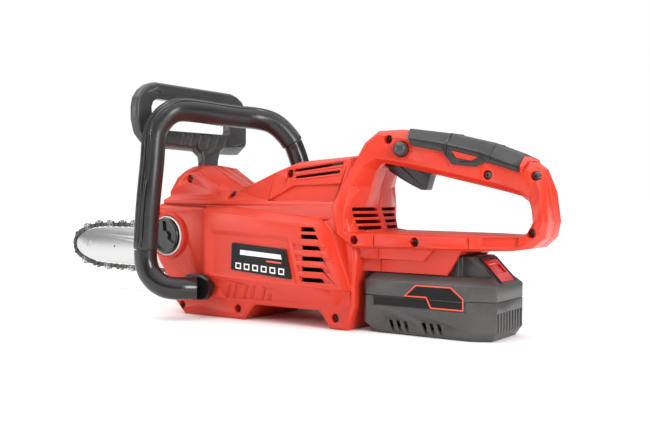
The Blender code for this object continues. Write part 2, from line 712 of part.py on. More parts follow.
def saw_chain():
    """The chain as one plain loop round the bar and the drive sprocket."""
    wheel = circle(SPROCKET_R + 0.7, 24, (SPINDLE_X, DRIVE_Z))
    inner = inset(hull(bar_outline() + wheel), -0.6)
    outer = inset(inner, -CHAIN_HEIGHT)
    low, high = BAR_Y - CHAIN_HALF_WIDTH, BAR_Y + CHAIN_HALF_WIDTH
    rings = [[(x, y, z) for x, z in line] for y, line in
             ((low, inner), (low, outer), (high, outer), (high, inner))]
    finish(loft("saw_chain", rings, loop=True), "dark_steel")


def star(teeth, root, tip, share, centre, start=0.0):
    """Outline of a toothed wheel; share is how much of the pitch a tooth's foot takes."""
    points = []
    for k in range(teeth):
        middle = start + 2 * math.pi * k / teeth
        foot = math.pi / teeth * share
        corners = ((root, -foot * 1.25), (tip, -foot * 0.55), (tip, foot * 0.55), (root, foot * 1.25))
        for radius, turn in corners:
            points.append((centre[0] + radius * math.cos(middle + turn),
                           centre[1] + radius * math.sin(middle + turn)))
    return points


def wheel_with_bore(name, outline, low, high, bore, centre):
    wheel = prism(name, outline, low, high)
    return cut(wheel, rod("bore", low - 5, high + 5, bore, centre, segments=16))


def gear_outline(teeth, centre, start):
    """Straight-flanked teeth with working backlash."""
    pitch = GEAR_MODULE * teeth / 2.0
    root, tip = pitch - 1.2 * GEAR_MODULE, pitch + 0.8 * GEAR_MODULE
    step = 2 * math.pi / teeth
    points = []
    for k in range(teeth):
        middle = start + step * k
        for radius, part in ((root, -0.3), (tip, -0.1), (tip, 0.1), (root, 0.3)):
            points.append((centre[0] + radius * math.cos(middle + part * step),
                           centre[1] + radius * math.sin(middle + part * step)))
    return points


def drive_train():
    centre = (SPINDLE_X, DRIVE_Z)
    motor = (MOTOR_X, DRIVE_Z)
    pivot = (SPINDLE_X, 0, DRIVE_Z)
    finish(rod("spindle", 10, 68, SPINDLE_R, centre, segments=20), "steel", pivot)
    gear = prism("large_gear", gear_outline(GEAR_TEETH, centre, 0.0), 20, 28)
    cut(gear, rod("bore", 10, 40, SPINDLE_R + GAP, centre, segments=16))
    finish(gear, "steel", pivot)
    sprocket = wheel_with_bore("drive_sprocket", star(7, 13.2, SPROCKET_R, 0.62, centre), BAR_Y - 2.6,
                               BAR_Y + 2.6, SPINDLE_R + GAP, centre)
    finish(sprocket, "dark_steel", pivot)
    drum = [(58, SPINDLE_R + GAP), (58, 23), (68, 23), (68, 20.5), (60.5, 20.5), (60.5, SPINDLE_R + GAP)]
    finish(lathe("brake_drum", drum, centre, segments=28), "steel", pivot)

    shaft_pivot = (MOTOR_X, 0, DRIVE_Z)
    shaft = rod("pinion_shaft", -53, 29.5, SHAFT_R, motor, segments=12)
    join(shaft, prism("pinion", gear_outline(PINION_TEETH, motor, math.pi / PINION_TEETH), 19.4, 28.6))
    finish(shaft, "steel", shaft_pivot)
    finish(sleeve("armature", -30, 3, SHAFT_R + GAP, 15.5, motor, segments=20), "copper", shaft_pivot)
    fan = wheel_with_bore("motor_fan", star(9, 11, 19.5, 0.55, motor), -50, -42, SHAFT_R + GAP, motor)
    finish(fan, "black_plastic", shaft_pivot)


def drive_supports():
    centre = (SPINDLE_X, DRIVE_Z)
    motor = (MOTOR_X, DRIVE_Z)
    can = [(-38, 4.5), (-38, 23), (9.5, 23), (9.5, 4.5), (7, 4.5), (7, 20.5), (-35.5, 20.5), (-35.5, 4.5)]
    finish(lathe("motor_can", can, motor, segments=28), "dark_steel")
    plate = [(17, 29), (96, 29), (100, 55), (96, 81), (17, 81), (15, 55)]
    frame = prism("gearbox_frame", plate, 12.0, 16.5)
    cut(frame, rod("seat", 5, 20, 8.3, motor, segments=20), rod("seat", 5, 20, 11.3, centre, segments=20))
    finish(frame, "aluminium")
    bearings = (("motor_bearing", 12.2, 16.3, SHAFT_R, 8.0, motor),
                ("spindle_bearing_inner", 12.2, 16.3, SPINDLE_R, 11.0, centre),
                ("spindle_bearing_outer", 43.0, 48.2, SPINDLE_R, 11.0, centre))
    for name, low, high, bore, reach, spot in bearings:
        finish(sleeve(name, low, high, bore + 0.08, reach, spot, segments=20), "steel")


def bar_mounting():
    centre = (SPINDLE_X, DRIVE_Z)
    outline = [(-50, 33), (50, 33), (64, 43), (68, 55), (64, 67), (50, 77), (-50, 77)]
    pad = [(-46, 36), (12, 36), (12, 74), (-46, 74)]
    plate = prism("bar_mount_plate", outline, BODY_HALF + GAP, 48.3)
    join(plate, prism("bar_pad", pad, 47, BAR_Y - BAR_THICKNESS / 2 - GAP))
    cut(plate, rod("seat", 40, 60, 11.4, centre, segments=20))
    join(plate, rod("bar_stud", 46, 92, 4.0, (STUD_X, DRIVE_Z), segments=16))
    cut(plate, rod("pin_room", 50.5, 60, 3.4, (TENSION_PIN[0] + 2.5, TENSION_PIN[1]), segments=12))
    finish(plate, "steel")


def brake_band():
    centre = (SPINDLE_X, DRIVE_Z)
    band = sleeve("brake_band", 59, 67, 23.5, 24.9, centre, segments=28)
    gap = [(SPINDLE_X, DRIVE_Z), (SPINDLE_X - 30, DRIVE_Z + 12), (SPINDLE_X - 30, DRIVE_Z + 30)]
    cut(band, prism("band_opening", gap, 50, 75))
    finish(band, "steel")


def sprocket_cover():
    outline = [(-62, 95.5), (62, 95.5), (84, 84), (92, 57), (84, 28), (66, 13), (-28, 13), (-56, 19.5),
               (-64, 36), (-66, 68)]
    edge = inset(outline, 7.0)
    cover = layers("sprocket_cover", [(45.5, outline), (78, outline), (85, edge)])
    inner, inner_edge = inset(outline, WALL), inset(outline, 9.0)
    cut(cover, layers("cover_hollow", [(40, inner), (76, inner), (82, inner_edge)]))
    cut(cover, box("bar_mouth", (-80, 47.5, 22.4), (-50, 60, 88)))
    cut(cover, box("chip_mouth", (30, 50, 4), (70, 74, 26)))
    cut(cover, rod("knob_hole", 75, 90, 8.2, (STUD_X, DRIVE_Z), segments=20))
    finish(cover, "black_plastic")


def cover_controls():
    centre = (STUD_X, DRIVE_Z)
    spot = (STUD_X, 86, DRIVE_Z)
    profile = [(78, 4.4), (78, 7.8), (85.4, 7.8), (85.4, 25), (93.5, 25), (94.5, 24), (94.5, 4.4)]
    knob = lathe("cover_knob", profile, centre, segments=28)
    wing = [(STUD_X - 22, 93), (STUD_X - 20, 104), (STUD_X + 20, 104), (STUD_X + 22, 93)]
    join(knob, loft("wing", [[(x, y, DRIVE_Z + s) for x, y in wing] for s in (-6.5, 6.5)]))
    finish(knob, "black_plastic", spot)
    dial = wheel_with_bore("tension_dial", star(24, 34, 36, 0.6, centre), 85.4, 92.5, 25.6, centre)
    finish(dial, "black_plastic", spot)


def chain_catcher():
    catcher = [(-58, 10.5), (-38, 9.5), (-38, 13.5), (-58, 17)]
    finish(prism("chain_catcher", catcher, 45.6, 62), "aluminium")


# ---------------------------------------------------------------- rear handle fittings

def grip_region(low, high):
    outline = [(195, 190), (197, 172), (203.3, 159), (231, 153.7), (239.8, 143), (260.5, 140.8),
               (270.2, 144.5), (300.6, 135.3), (303.7, 147), (306, 170)]
    return prism("grip_region", outline, low, high)


def rear_grip():
    """Soft cover over the top of the rear handle, lying on both halves."""
    cover = handle_volume("rear_grip", -1, -1.7)
    join(cover, handle_volume("right_part", 1, -1.7))
    boolean(cover, grip_region(-40, 40), "INTERSECT")
    cut(cover, handle_volume("left_core", -1, -GAP))
    cut(cover, handle_volume("right_core", 1, -GAP))
    window = [(239.7, 154.1), (262.5, 148.5), (256.9, 146.0), (244.1, 148.2)]
    cut(cover, prism("inlay_window", inset(window, -0.6), -40, -15))
    finish(cover, "soft_black")
    inlay = handle_volume("grip_inlay", -1, -1.4)
    boolean(inlay, prism("inlay_region", inset(window, -0.25), -40, -15), "INTERSECT")
    cut(inlay, handle_volume("left_core", -1, -GAP))
    finish(inlay, "red_plastic")


def trigger_parts():
    x, z = TRIGGER_PIVOT
    outline = [(172, 138.5), (171.5, 149), (176, 152.5), (184, 152), (222, 146), (222, 139),
               (213, 134.5), (209, 121.8), (204, 121.8), (193, 126.8), (184, 131.5)]
    trigger = prism("trigger", outline, -6, 6)
    cut(trigger, rod("bore", -12, 12, 1.6, TRIGGER_PIVOT, segments=12))
    finish(trigger, "black_plastic", (x, 0, z))
    finish(rod("trigger_pin", -13, 13, 1.5, TRIGGER_PIVOT, segments=12), "steel")
    coil = [(x + 3.2 * math.cos(t * math.pi / 4), 9.2 + t * 0.12, z + 3.2 * math.sin(t * math.pi / 4))
            for t in range(25)]
    finish(sweep("trigger_spring", coil, 0.4, sides=6), "steel")
    switch = box("switch_module", (196, -8, 156), (230, 8, 163))
    join(switch, box("switch_base", (236, -7, 146), (256, 7, 155)),
         box("bridge", (228, -6, 150), (240, 6, 160)))
    finish(switch, "black_plastic")


def lock_off_button():
    profile = [(-29.5, 0), (-29.2, 2.4), (-28.2, 4.4), (-26.6, 5.8), (-24.8, 6.4), (-16, 6.4), (-16, 5.0),
               (-12.5, 5.0), (-12.5, 0)]
    button = lathe("lock_off_button", profile, LOCK_BUTTON, segments=20)
    finish(button, "black_plastic", (LOCK_BUTTON[0], -24, LOCK_BUTTON[1]))


def label_plate():
    outline = [(37.5, 73), (99.5, 69), (106, 42), (36.5, 47.5)]
    finish(prism("label_plate", outline, -BLOCK_Y + 0.3, -BLOCK_Y + 1.5), "black_plastic")


def control_board():
    board = box("control_board", (112, -34, 30), (113.8, 34, 92))
    for k in range(3):
        y = -24 + 17 * k
        join(board, box("transistor", (113, y, 60), (118, y + 10, 76)))
    join(board, rod("capacitor", 113, 128, 6.0, (18, 44), axis="X", segments=14))
    finish(board, "board_green")


# ---------------------------------------------------------------- battery

def battery_plan(shrink=0.0):
    """Battery outline from above, with its slanted rear corners."""
    half, front, rear = BATTERY_HALF, BATTERY_FRONT_X, BATTERY_REAR_X
    right = [(front, half - 5), (front + 5, half), (264, half), (rear, 28)]
    outline = right + [(x, -y) for x, y in reversed(right)]
    return inset(outline, shrink)


def battery_lower_case():
    foot = [(max(x, 179), y) for x, y in battery_plan(5.0)]
    plan = battery_plan()
    case = layers("battery_lower_case", [(0, foot), (8, plan), (BATTERY_SEAM_Z - GAP / 2, plan)], axis="Z")
    hollow_foot = [(max(x, 181), y) for x, y in battery_plan(7.0)]
    inner = battery_plan(2.4)
    cut(case, layers("hollow", [(2.5, hollow_foot), (9, inner), (50, inner)], axis="Z"))
    for first in (194.0, 225.0):
        for k in range(3):
            x = first + 6.8 * k
            vent = [(x, 3.0), (x + 2.2, 3.0), (x + 0.2, 10.2), (x - 2.0, 10.2)]
            for side in (-1, 1):
                cut(case, prism("vent", vent, *sorted((side * 34.0, side * 40.0))))
    finish(case, "battery_plastic")


def slope_frame():
    """Top and bottom of the slanted rear of the battery's tower, and its outward direction."""
    top, bottom = Vector((262.0, TOWER_TOP_Z)), Vector((283.0, 46.0))
    along = (bottom - top).normalized()
    return top, bottom, along, Vector((-along.y, along.x))


def button_outline(grow, out, depth):
    top, bottom, along, outward = slope_frame()
    first = top + along * (5.0 - grow)
    last = bottom - along * (1.5 - grow)
    return [tuple(first + outward * out), tuple(last + outward * out),
            tuple(last - outward * depth), tuple(first - outward * depth)]


def battery_upper_case():
    plan = battery_plan()
    levels = [(BATTERY_SEAM_Z + GAP / 2, plan), (44.5, plan), (DECK_Z, battery_plan(7.5))]
    case = layers("battery_upper_case", levels, axis="Z")
    rail = [(177, 44), (177, TOWER_TOP_Z), (250, TOWER_TOP_Z), (250, 44)]
    slope = [(240, 43), (240, TOWER_TOP_Z - 0.1), (262, TOWER_TOP_Z - 0.1), (283, 46), (283, 43)]
    join(case, prism("rail_tower", rail, -26.4, 26.4), prism("latch_tower", slope, -19, 19))
    inner = battery_plan(2.4)
    cut(case, layers("hollow", [(20, inner), (43.5, inner), (48.5, battery_plan(9.5))], axis="Z"))
    cut(case, box("tower_hollow", (197, -23.5, 40), (238, 23.5, 65)))
    cut(case, prism("button_pocket", button_outline(0.4, 6.0, 9.0), -14.4, 14.4))
    for y in (-14.0, 0.0, 14.0):
        cut(case, box("blade_slot", (170, y - 1.0, 54), (193, y + 1.0, 66)))
    finish(case, "battery_plastic")


def battery_inside():
    """Two rows of five cells, as one solid with a scalloped outline."""
    rows = ((-math.pi, 13.8, range(5)), (0.0, 32.4, range(4, -1, -1)))
    outline = []
    for start, z, places in rows:
        for k in places:
            x = 185.0 + CELL_PITCH * k
            for t in range(7):
                turn = start + math.pi * t / 6
                outline.append((x + CELL_R * math.cos(turn), z + CELL_R * math.sin(turn)))
    cells = prism("cell_pack", outline, -31.0, 31.0)
    finish(cells, "steel")


def battery_release_button():
    button = prism("battery_release_button", button_outline(0.0, 0.9, 5.0), -13.9, 13.9)
    top, bottom, along, outward = slope_frame()
    middle = (top + bottom) / 2
    hollow = [tuple(middle + along * a + outward * b) for a, b in ((-7, 3), (6, 3), (4, -0.4), (-5, -0.4))]
    cut(button, prism("thumb_hollow", hollow, -10, 10))
    finish(button, "red_plastic", (middle.x, 0, middle.y))


def battery_terminal_block():
    block = box("battery_terminal_block", (163.0, -22, 53), (175.5, 22, 68))
    for y in (-14.0, 0.0, 14.0):
        join(block, box("blade", (174, y - 0.5, 55.5), (190, y + 0.5, 64.5)))
    finish(block, "black_plastic")


def build():
    clear_scene()
    left_housing_shell()
    right_housing_shell()
    housing_screws()
    front_handle()
    handle_screws()
    hand_guard()
    oil_tank()
    oil_cap()
    oil_pump_and_hose()
    guide_bar()
    saw_chain()
    drive_train()
    drive_supports()
    bar_mounting()
    brake_band()
    sprocket_cover()
    cover_controls()
    chain_catcher()
    rear_grip()
    trigger_parts()
    lock_off_button()
    label_plate()
    control_board()
    battery_lower_case()
    battery_upper_case()
    battery_inside()
    battery_release_button()
    battery_terminal_block()


build()
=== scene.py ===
"""Looks of a cordless chainsaw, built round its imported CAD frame.

Sizes are in millimetres and become metres when a mesh is made. +X points to the rear handle,
-Y to the saw's left, where the camera stands, and +Z up.
"""
import math

import bmesh
import bpy
from mathutils import Matrix, Vector
from mathutils.bvhtree import BVHTree


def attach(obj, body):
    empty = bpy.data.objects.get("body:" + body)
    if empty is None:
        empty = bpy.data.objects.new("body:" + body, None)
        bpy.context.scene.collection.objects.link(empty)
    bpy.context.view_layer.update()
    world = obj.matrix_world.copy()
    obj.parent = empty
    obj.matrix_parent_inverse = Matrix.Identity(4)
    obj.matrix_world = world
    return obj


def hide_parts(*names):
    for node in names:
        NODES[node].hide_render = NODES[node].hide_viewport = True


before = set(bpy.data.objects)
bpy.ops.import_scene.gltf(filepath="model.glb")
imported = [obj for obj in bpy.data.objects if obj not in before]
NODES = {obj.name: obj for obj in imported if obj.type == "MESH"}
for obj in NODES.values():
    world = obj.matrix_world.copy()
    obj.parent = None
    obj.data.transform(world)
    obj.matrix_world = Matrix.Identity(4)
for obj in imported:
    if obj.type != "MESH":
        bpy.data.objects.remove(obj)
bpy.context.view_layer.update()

MM = 0.001

# The bar's mid-plane, the spindle's height and place, the bar's tip and half width, and how far
# the drive sprocket reaches.
BAR_Y = 53.25
DRIVE_Z = 55.0
SPINDLE_X = 40.0
BAR_TIP_X = -305.0
BAR_HALF = 22.5
SPROCKET_R = 18.7


# ---------------------------------------------------------------- mesh helpers

def from_bmesh(name, shape, smooth=True):
    """Turn a bmesh, already in metres, into an object in the scene."""
    mesh = bpy.data.meshes.new(name)
    bmesh.ops.recalc_face_normals(shape, faces=shape.faces)
    shape.to_mesh(mesh)
    shape.free()
    mesh.polygons.foreach_set("use_smooth", [smooth] * len(mesh.polygons))
    obj = bpy.data.objects.new(name, mesh)
    bpy.context.scene.collection.objects.link(obj)
    return obj


def make(name, points, faces, crease=35.0):
    """Object from points in millimetres; edges sharper than crease degrees stay sharp."""
    mesh = bpy.data.meshes.new(name)
    mesh.from_pydata([[c * MM for c in p] for p in points], [], faces)
    shape = bmesh.new()
    shape.from_mesh(mesh)
    bpy.data.meshes.remove(mesh)
    obj = from_bmesh(name, shape)
    obj.data.set_sharp_from_angle(angle=math.radians(crease))
    return obj


def loft(name, rings, loop=False, crease=35.0):
    """Skin equal rings of points; the ends are capped unless the rings close into a loop."""
    count = len(rings[0])
    points = [tuple(p) for ring in rings for p in ring]
    faces = []
    for r in range(len(rings) if loop else len(rings) - 1):
        here, there = r * count, (r + 1) % len(rings) * count
        for i in range(count):
            j = (i + 1) % count
            faces.append([here + i, here + j, there + j, there + i])
    if not loop:
        faces.append(list(range(count))[::-1])
        faces.append([(len(rings) - 1) * count + i for i in range(count)])
    return make(name, points, faces, crease)


def prism(name, outline, low, high):
    """Outline in X and Z, pulled along Y from low to high."""
    return loft(name, [[(a, y, b) for a, b in outline] for y in (low, high)])


def upright_prism(name, outline, low, high):
    """Outline in X and Y, pulled along Z from low to high."""
    return loft(name, [[(a, b, z) for a, b in outline] for z in (low, high)])


def box(name, low, high):
    """Block between two opposite corners."""
    corners = [(low[0], low[2]), (high[0], low[2]), (high[0], high[2]), (low[0], high[2])]
    return prism(name, corners, low[1], high[1])


def turned(name, profile, centre, segments, wobble=None):
    """Rings of (Y, radius) about an axis along Y; wobble changes a radius with the angle."""
    rings = []
    for level, radius in profile:
        ring = []
        for k in range(segments):
            turn = 2 * math.pi * k / segments
            reach = radius if wobble is None else wobble(radius, turn)
            ring.append((centre[0] + reach * math.cos(turn), level, centre[1] + reach * math.sin(turn)))
        rings.append(ring)
    return loft(name, rings, crease=30.0)


def frames(path, start=(1.0, 0.0, 0.0)):
    """Two directions square to a path at each of its points, without twist."""
    pts = [Vector(p) for p in path]
    side = Vector(start)
    found = []
    for i in range(len(pts)):
        ahead = (pts[min(i + 1, len(pts) - 1)] - pts[max(i - 1, 0)]).normalized()
        side = (side - ahead * side.dot(ahead)).normalized()
        found.append((side, ahead.cross(side)))
    return found


def smooth_path(points, steps):
    """Catmull-Rom curve through the points."""
    pts = [Vector(p) for p in points]
    ends = [pts[0] * 2 - pts[1]] + pts + [pts[-1] * 2 - pts[-2]]
    path = []
    for i in range(1, len(ends) - 2):
        a, b, c, d = ends[i - 1:i + 3]
        for k in range(steps):
            t = k / steps
            path.append(0.5 * (2 * b + (c - a) * t + (2 * a - 5 * b + 4 * c - d) * t * t
                               + (3 * b - a - 3 * c + d) * t ** 3))
    path.append(pts[-1])
    return path


def sweep(name, path, radius, sides, start=(1.0, 0.0, 0.0)):
    """Round tube along a path."""
    turns = [2 * math.pi * k / sides for k in range(sides)]
    rings = [[Vector(centre) + (u * math.cos(turn) + v * math.sin(turn)) * radius for turn in turns]
             for centre, (u, v) in zip(path, frames(path, start))]
    return loft(name, rings)


def fillet(outline, radius, steps):
    """Round every corner of a closed outline."""
    rounded = []
    for i, here in enumerate(outline):
        here = Vector(here)
        before = Vector(outline[i - 1]) - here
        after = Vector(outline[(i + 1) % len(outline)]) - here
        angle = before.angle(after)
        reach = min(radius / max(math.tan(angle / 2), 0.05), before.length * 0.45, after.length * 0.45)
        a, b = here + before.normalized() * reach, here + after.normalized() * reach
        for k in range(steps + 1):
            t = k / steps
            rounded.append(tuple(a * (1 - t) ** 2 + here * 2 * t * (1 - t) + b * t * t))
    return rounded


def plate(name, outline, low, high, edge):
    """Flat plate with rounded edges, outline in X and Z."""
    curve = bpy.data.curves.new(name, "CURVE")
    curve.dimensions = "2D"
    curve.fill_mode = "BOTH"
    curve.extrude = (high - low) / 2 - edge
    curve.bevel_depth = edge
    curve.bevel_resolution = 3
    curve.offset = -edge
    spline = curve.splines.new("POLY")
    spline.points.add(len(outline) - 1)
    for point, (a, b) in zip(spline.points, outline):
        point.co = (a, b, 0.0, 1.0)
    spline.use_cyclic_u = True
    holder = bpy.data.objects.new(name, curve)
    bpy.context.scene.collection.objects.link(holder)
    bpy.context.view_layer.update()
    mesh = bpy.data.meshes.new_from_object(holder.evaluated_get(bpy.context.evaluated_depsgraph_get()))
    bpy.data.objects.remove(holder)
    upright = Matrix(((1, 0, 0, 0), (0, 0, -1, (low + high) / 2), (0, 1, 0, 0), (0, 0, 0, 1)))
    mesh.transform(Matrix.Scale(MM, 4) @ upright)
    shape = bmesh.new()
    shape.from_mesh(mesh)
    bmesh.ops.remove_doubles(shape, verts=shape.verts, dist=0.01 * MM)
    bpy.data.meshes.remove(mesh)
    obj = from_bmesh(name, shape)
    obj.data.set_sharp_from_angle(angle=math.radians(40))
    return obj


def merge(name, pieces):
    """One object from several."""
    shape = bmesh.new()
    for piece in pieces:
        shape.from_mesh(piece.data)
    merged = from_bmesh(name, shape)
    merged.data.set_sharp_from_angle(angle=math.radians(35))
    for piece in pieces:
        bpy.data.objects.remove(piece)
    return merged


def boolean(target, tools, operation="DIFFERENCE"):
    """Carve the closed tools out of a closed piece, or keep only what they share."""
    for tool in tools:
        modifier = target.modifiers.new("boolean", "BOOLEAN")
        modifier.operation = operation
        modifier.solver = "MANIFOLD"
        modifier.object = tool
    bpy.context.view_layer.update()
    mesh = bpy.data.meshes.new_from_object(target.evaluated_get(bpy.context.evaluated_depsgraph_get()))
    target.modifiers.clear()
    target.data = mesh
    for tool in tools:
        bpy.data.objects.remove(tool)
    return target


def cad_copy(node, name):
    """A closed copy of a CAD node's mesh, to carve detail into."""
    shape = bmesh.new()
    shape.from_mesh(NODES[node].data)
    bmesh.ops.remove_doubles(shape, verts=shape.verts, dist=0.005 * MM)
    return from_bmesh(name, shape, smooth=False)


def soften(obj, width, segments=2):
    """Round the edges of a faceted piece."""
    weld = obj.modifiers.new("weld", "WELD")
    weld.merge_threshold = 0.02 * MM
    bevel = obj.modifiers.new("bevel", "BEVEL")
    bevel.width = width * MM
    bevel.segments = segments
    bevel.limit_method = "ANGLE"
    bevel.angle_limit = math.radians(19)
    bevel.use_clamp_overlap = False
    bevel.miter_outer = "MITER_ARC"
    bevel.harden_normals = True
    obj.data.polygons.foreach_set("use_smooth", [True] * len(obj.data.polygons))
    return obj


# ---------------------------------------------------------------- materials

GLOSS_DRIFT = 0.08


def material(name, colour, rough, grain, bump, tint, metallic=0.0, depth=0.05, coat=0.0,
             stretch=(1.0, 1.0, 1.0), blotch=25.0, shine=0.5):
    """Procedural finish: fine moulded or ground grain, slow colour drift and uneven gloss."""
    mat = bpy.data.materials.new(name)
    mat.use_nodes = True
    tree = mat.node_tree
    link = tree.links.new
    shader = tree.nodes["Principled BSDF"]
    place = tree.nodes.new("ShaderNodeTexCoord")
    scale = tree.nodes.new("ShaderNodeMapping")
    scale.inputs["Scale"].default_value = stretch
    link(place.outputs["Object"], scale.inputs["Vector"])

    drift = tree.nodes.new("ShaderNodeTexNoise")
    drift.inputs["Scale"].default_value = blotch
    drift.inputs["Detail"].default_value = 5.0
    link(scale.outputs["Vector"], drift.inputs["Vector"])
    ramp = tree.nodes.new("ShaderNodeValToRGB")
    ramp.color_ramp.elements[0].position = 0.3
    ramp.color_ramp.elements[1].position = 0.7
    ramp.color_ramp.elements[0].color = (*[c * (1 - tint) for c in colour], 1.0)
    ramp.color_ramp.elements[1].color = (*[min(1.0, c * (1 + tint)) for c in colour], 1.0)
    link(drift.outputs["Fac"], ramp.inputs["Fac"])

    fine = tree.nodes.new("ShaderNodeTexNoise")
    fine.inputs["Scale"].default_value = grain
    fine.inputs["Detail"].default_value = 3.0
    link(scale.outputs["Vector"], fine.inputs["Vector"])

    speck = tree.nodes.new("ShaderNodeMix")
    speck.data_type = "RGBA"
    speck.blend_type = "SOFT_LIGHT"
    speck.inputs["Factor"].default_value = min(1.0, tint * 3)
    link(ramp.outputs["Color"], speck.inputs["A"])
    link(fine.outputs["Fac"], speck.inputs["B"])
    link(speck.outputs["Result"], shader.inputs["Base Color"])

    gloss = tree.nodes.new("ShaderNodeMapRange")
    gloss.inputs["To Min"].default_value = rough - GLOSS_DRIFT
    gloss.inputs["To Max"].default_value = rough + GLOSS_DRIFT
    link(drift.outputs["Fac"], gloss.inputs["Value"])
    link(gloss.outputs["Result"], shader.inputs["Roughness"])

    relief = tree.nodes.new("ShaderNodeBump")
    relief.inputs["Strength"].default_value = bump
    relief.inputs["Distance"].default_value = depth * MM
    link(fine.outputs["Fac"], relief.inputs["Height"])
    link(relief.outputs["Normal"], shader.inputs["Normal"])
    shader.inputs["Metallic"].default_value = metallic
    shader.inputs["Specular IOR Level"].default_value = shine
    shader.inputs["Coat Weight"].default_value = coat
    shader.inputs["Coat Roughness"].default_value = 0.12
    return mat


RED = material("red_plastic", (0.60, 0.034, 0.013), 0.34, grain=1800, bump=0.2, depth=0.06, tint=0.06,
               shine=0.4)
RED_DEEP = material("red_gloss", (0.60, 0.008, 0.006), 0.22, grain=1500, bump=0.04, tint=0.05, coat=0.4)
RED_LINE = material("red_line", (0.85, 0.08, 0.04), 0.4, grain=2500, bump=0.05, tint=0.05)
BLACK = material("black_plastic", (0.014, 0.0135, 0.0135), 0.36, grain=1600, bump=0.3, depth=0.08, tint=0.2)
GLOSS = material("black_gloss", (0.009, 0.0088, 0.0088), 0.24, grain=1200, bump=0.05, tint=0.15, coat=0.15)
SOFT = material("soft_black", (0.017, 0.0165, 0.0163), 0.3, grain=2200, bump=0.4, depth=0.08, tint=0.25)
GUARD = material("guard_black", (0.042, 0.041, 0.0415), 0.34, grain=1300, bump=0.4, depth=0.1, tint=0.2)
BATTERY = material("battery_plastic", (0.055, 0.053, 0.052), 0.42, grain=1500, bump=0.5, depth=0.12,
                   tint=0.25)
WHITE = material("white_plastic", (0.82, 0.82, 0.80), 0.35, grain=1200, bump=0.08, tint=0.03)
STEEL = material("steel", (0.60, 0.60, 0.61), 0.3, metallic=1.0, grain=900, bump=0.08, tint=0.1)
BAR_STEEL = material("bar_steel", (0.61, 0.61, 0.61), 0.3, metallic=0.9, grain=700, bump=0.1, depth=0.02,
                     tint=0.04, stretch=(0.08, 1.0, 1.0))
DARK = material("dark_steel", (0.11, 0.105, 0.10), 0.38, metallic=0.9, grain=900, bump=0.15, tint=0.25)
BRIGHT = material("chrome_cutter", (0.38, 0.38, 0.39), 0.26, metallic=1.0, grain=900, bump=0.08, tint=0.15)
CAST = material("aluminium", (0.66, 0.66, 0.67), 0.42, metallic=1.0, grain=600, bump=0.3, tint=0.1)
COPPER = material("copper", (0.65, 0.30, 0.14), 0.35, metallic=1.0, grain=500, bump=0.5, tint=0.2,
                  stretch=(1.0, 8.0, 1.0))
BOARD = material("board_green", (0.006, 0.02, 0.01), 0.5, grain=300, bump=0.3, tint=0.3)
LABEL = material("label_black", (0.008, 0.008, 0.0085), 0.4, grain=900, bump=0.03, tint=0.1, shine=0.2)
PRINT = material("label_white", (0.85, 0.85, 0.84), 0.4, grain=1500, bump=0.03, tint=0.03)
PALE = material("floor_pale", (0.97, 0.97, 0.97), 0.7, grain=60, bump=0.02, tint=0.01, blotch=1.0)


def dress(obj, mat):
    obj.data.materials.clear()
    obj.data.materials.append(mat)


def keep(piece, mat, body="saw", replaces=()):
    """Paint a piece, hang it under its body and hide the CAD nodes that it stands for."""
    dress(piece, mat)
    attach(piece, body)
    if replaces:
        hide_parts(*replaces)


# ---------------------------------------------------------------- surface finding

def surface(node):
    """A CAD node's mesh, ready for rays."""
    data = NODES[node].data
    return BVHTree.FromPolygons([v.co for v in data.vertices], [tuple(p.vertices) for p in data.polygons])


LEFT = surface("left_housing_shell")
RIGHT = surface("right_housing_shell")


def side_y(x, z, sign):
    """Y of the housing's outer side at X, Z; sign is -1 on the saw's left and 1 on its right."""
    tree = LEFT if sign < 0 else RIGHT
    spot = tree.ray_cast(Vector((x, sign * 150.0, z)) * MM, Vector((0, -sign, 0)))[0]
    return spot.y / MM if spot else None


def top_z(x, y):
    """Z of the housing's upper side at X, Y."""
    spot = (LEFT if y < 0 else RIGHT).ray_cast(Vector((x, y, 230.0)) * MM, Vector((0, 0, -1)))[0]
    return spot.z / MM if spot else None


def spaced(points):
    """Extra points along a polyline, about 4 mm apart."""
    step = 4.0
    path = [Vector(points[0])]
    for a, b in zip(points, points[1:]):
        a, b = Vector(a), Vector(b)
        count = max(1, int((b - a).length / step))
        path += [a.lerp(b, (k + 1) / count) for k in range(count)]
    return path


def draped_side(name, points, radius, sign):
    """Thin raised line that follows the housing's side, given in X and Z."""
    route = [(x, side_y(x, z, sign), z) for x, z in spaced(points)]
    return sweep(name, route, radius, 8, (0.0, 0.0, 1.0))


# ---------------------------------------------------------------- housing

def louvre_recesses():
    """Shallow steps at both ends of the four long slots in the motor cover."""
    slots = ((71.0, 134.5), (61.6, 138.5), (52.4, 138.7), (43.2, 138.7))
    tools = []
    for k, (z, rear) in enumerate(slots):
        left, far = 107.2 + 2.3 * k, rear + 8.6
        start = [(left, z + 2.9), (118.5, z + 2.4), (118.5, z - 2.2), (left + 1.4, z - 2.2)]
        end = [(rear - 3, z + 1.7), (far - 1.6, z + 0.9), (far, z - 1.8), (rear - 2, z - 1.8)]
        tools.append(prism("step", start, -66, -58.5))
        tools.append(prism("step", end, -66, -58.7))
    return tools


def seam_cuts(sign):
    """Thin parting lines down the lower bar and its skirt."""
    half = 0.3
    cuts = []
    for x, z_low, z_high, depth in ((180.3, 73.0, 86.0, 40.4), (180.3, 62.6, 72.9, 35.4),
                                    (179.6, 51.0, 62.5, 29.9), (264.0, 72.0, 86.0, 37.4)):
        low, high = sorted((sign * depth, sign * (depth + 9)))
        cuts.append(box("seam", (x - half, low, z_low), (x + half, high, z_high)))
    return cuts


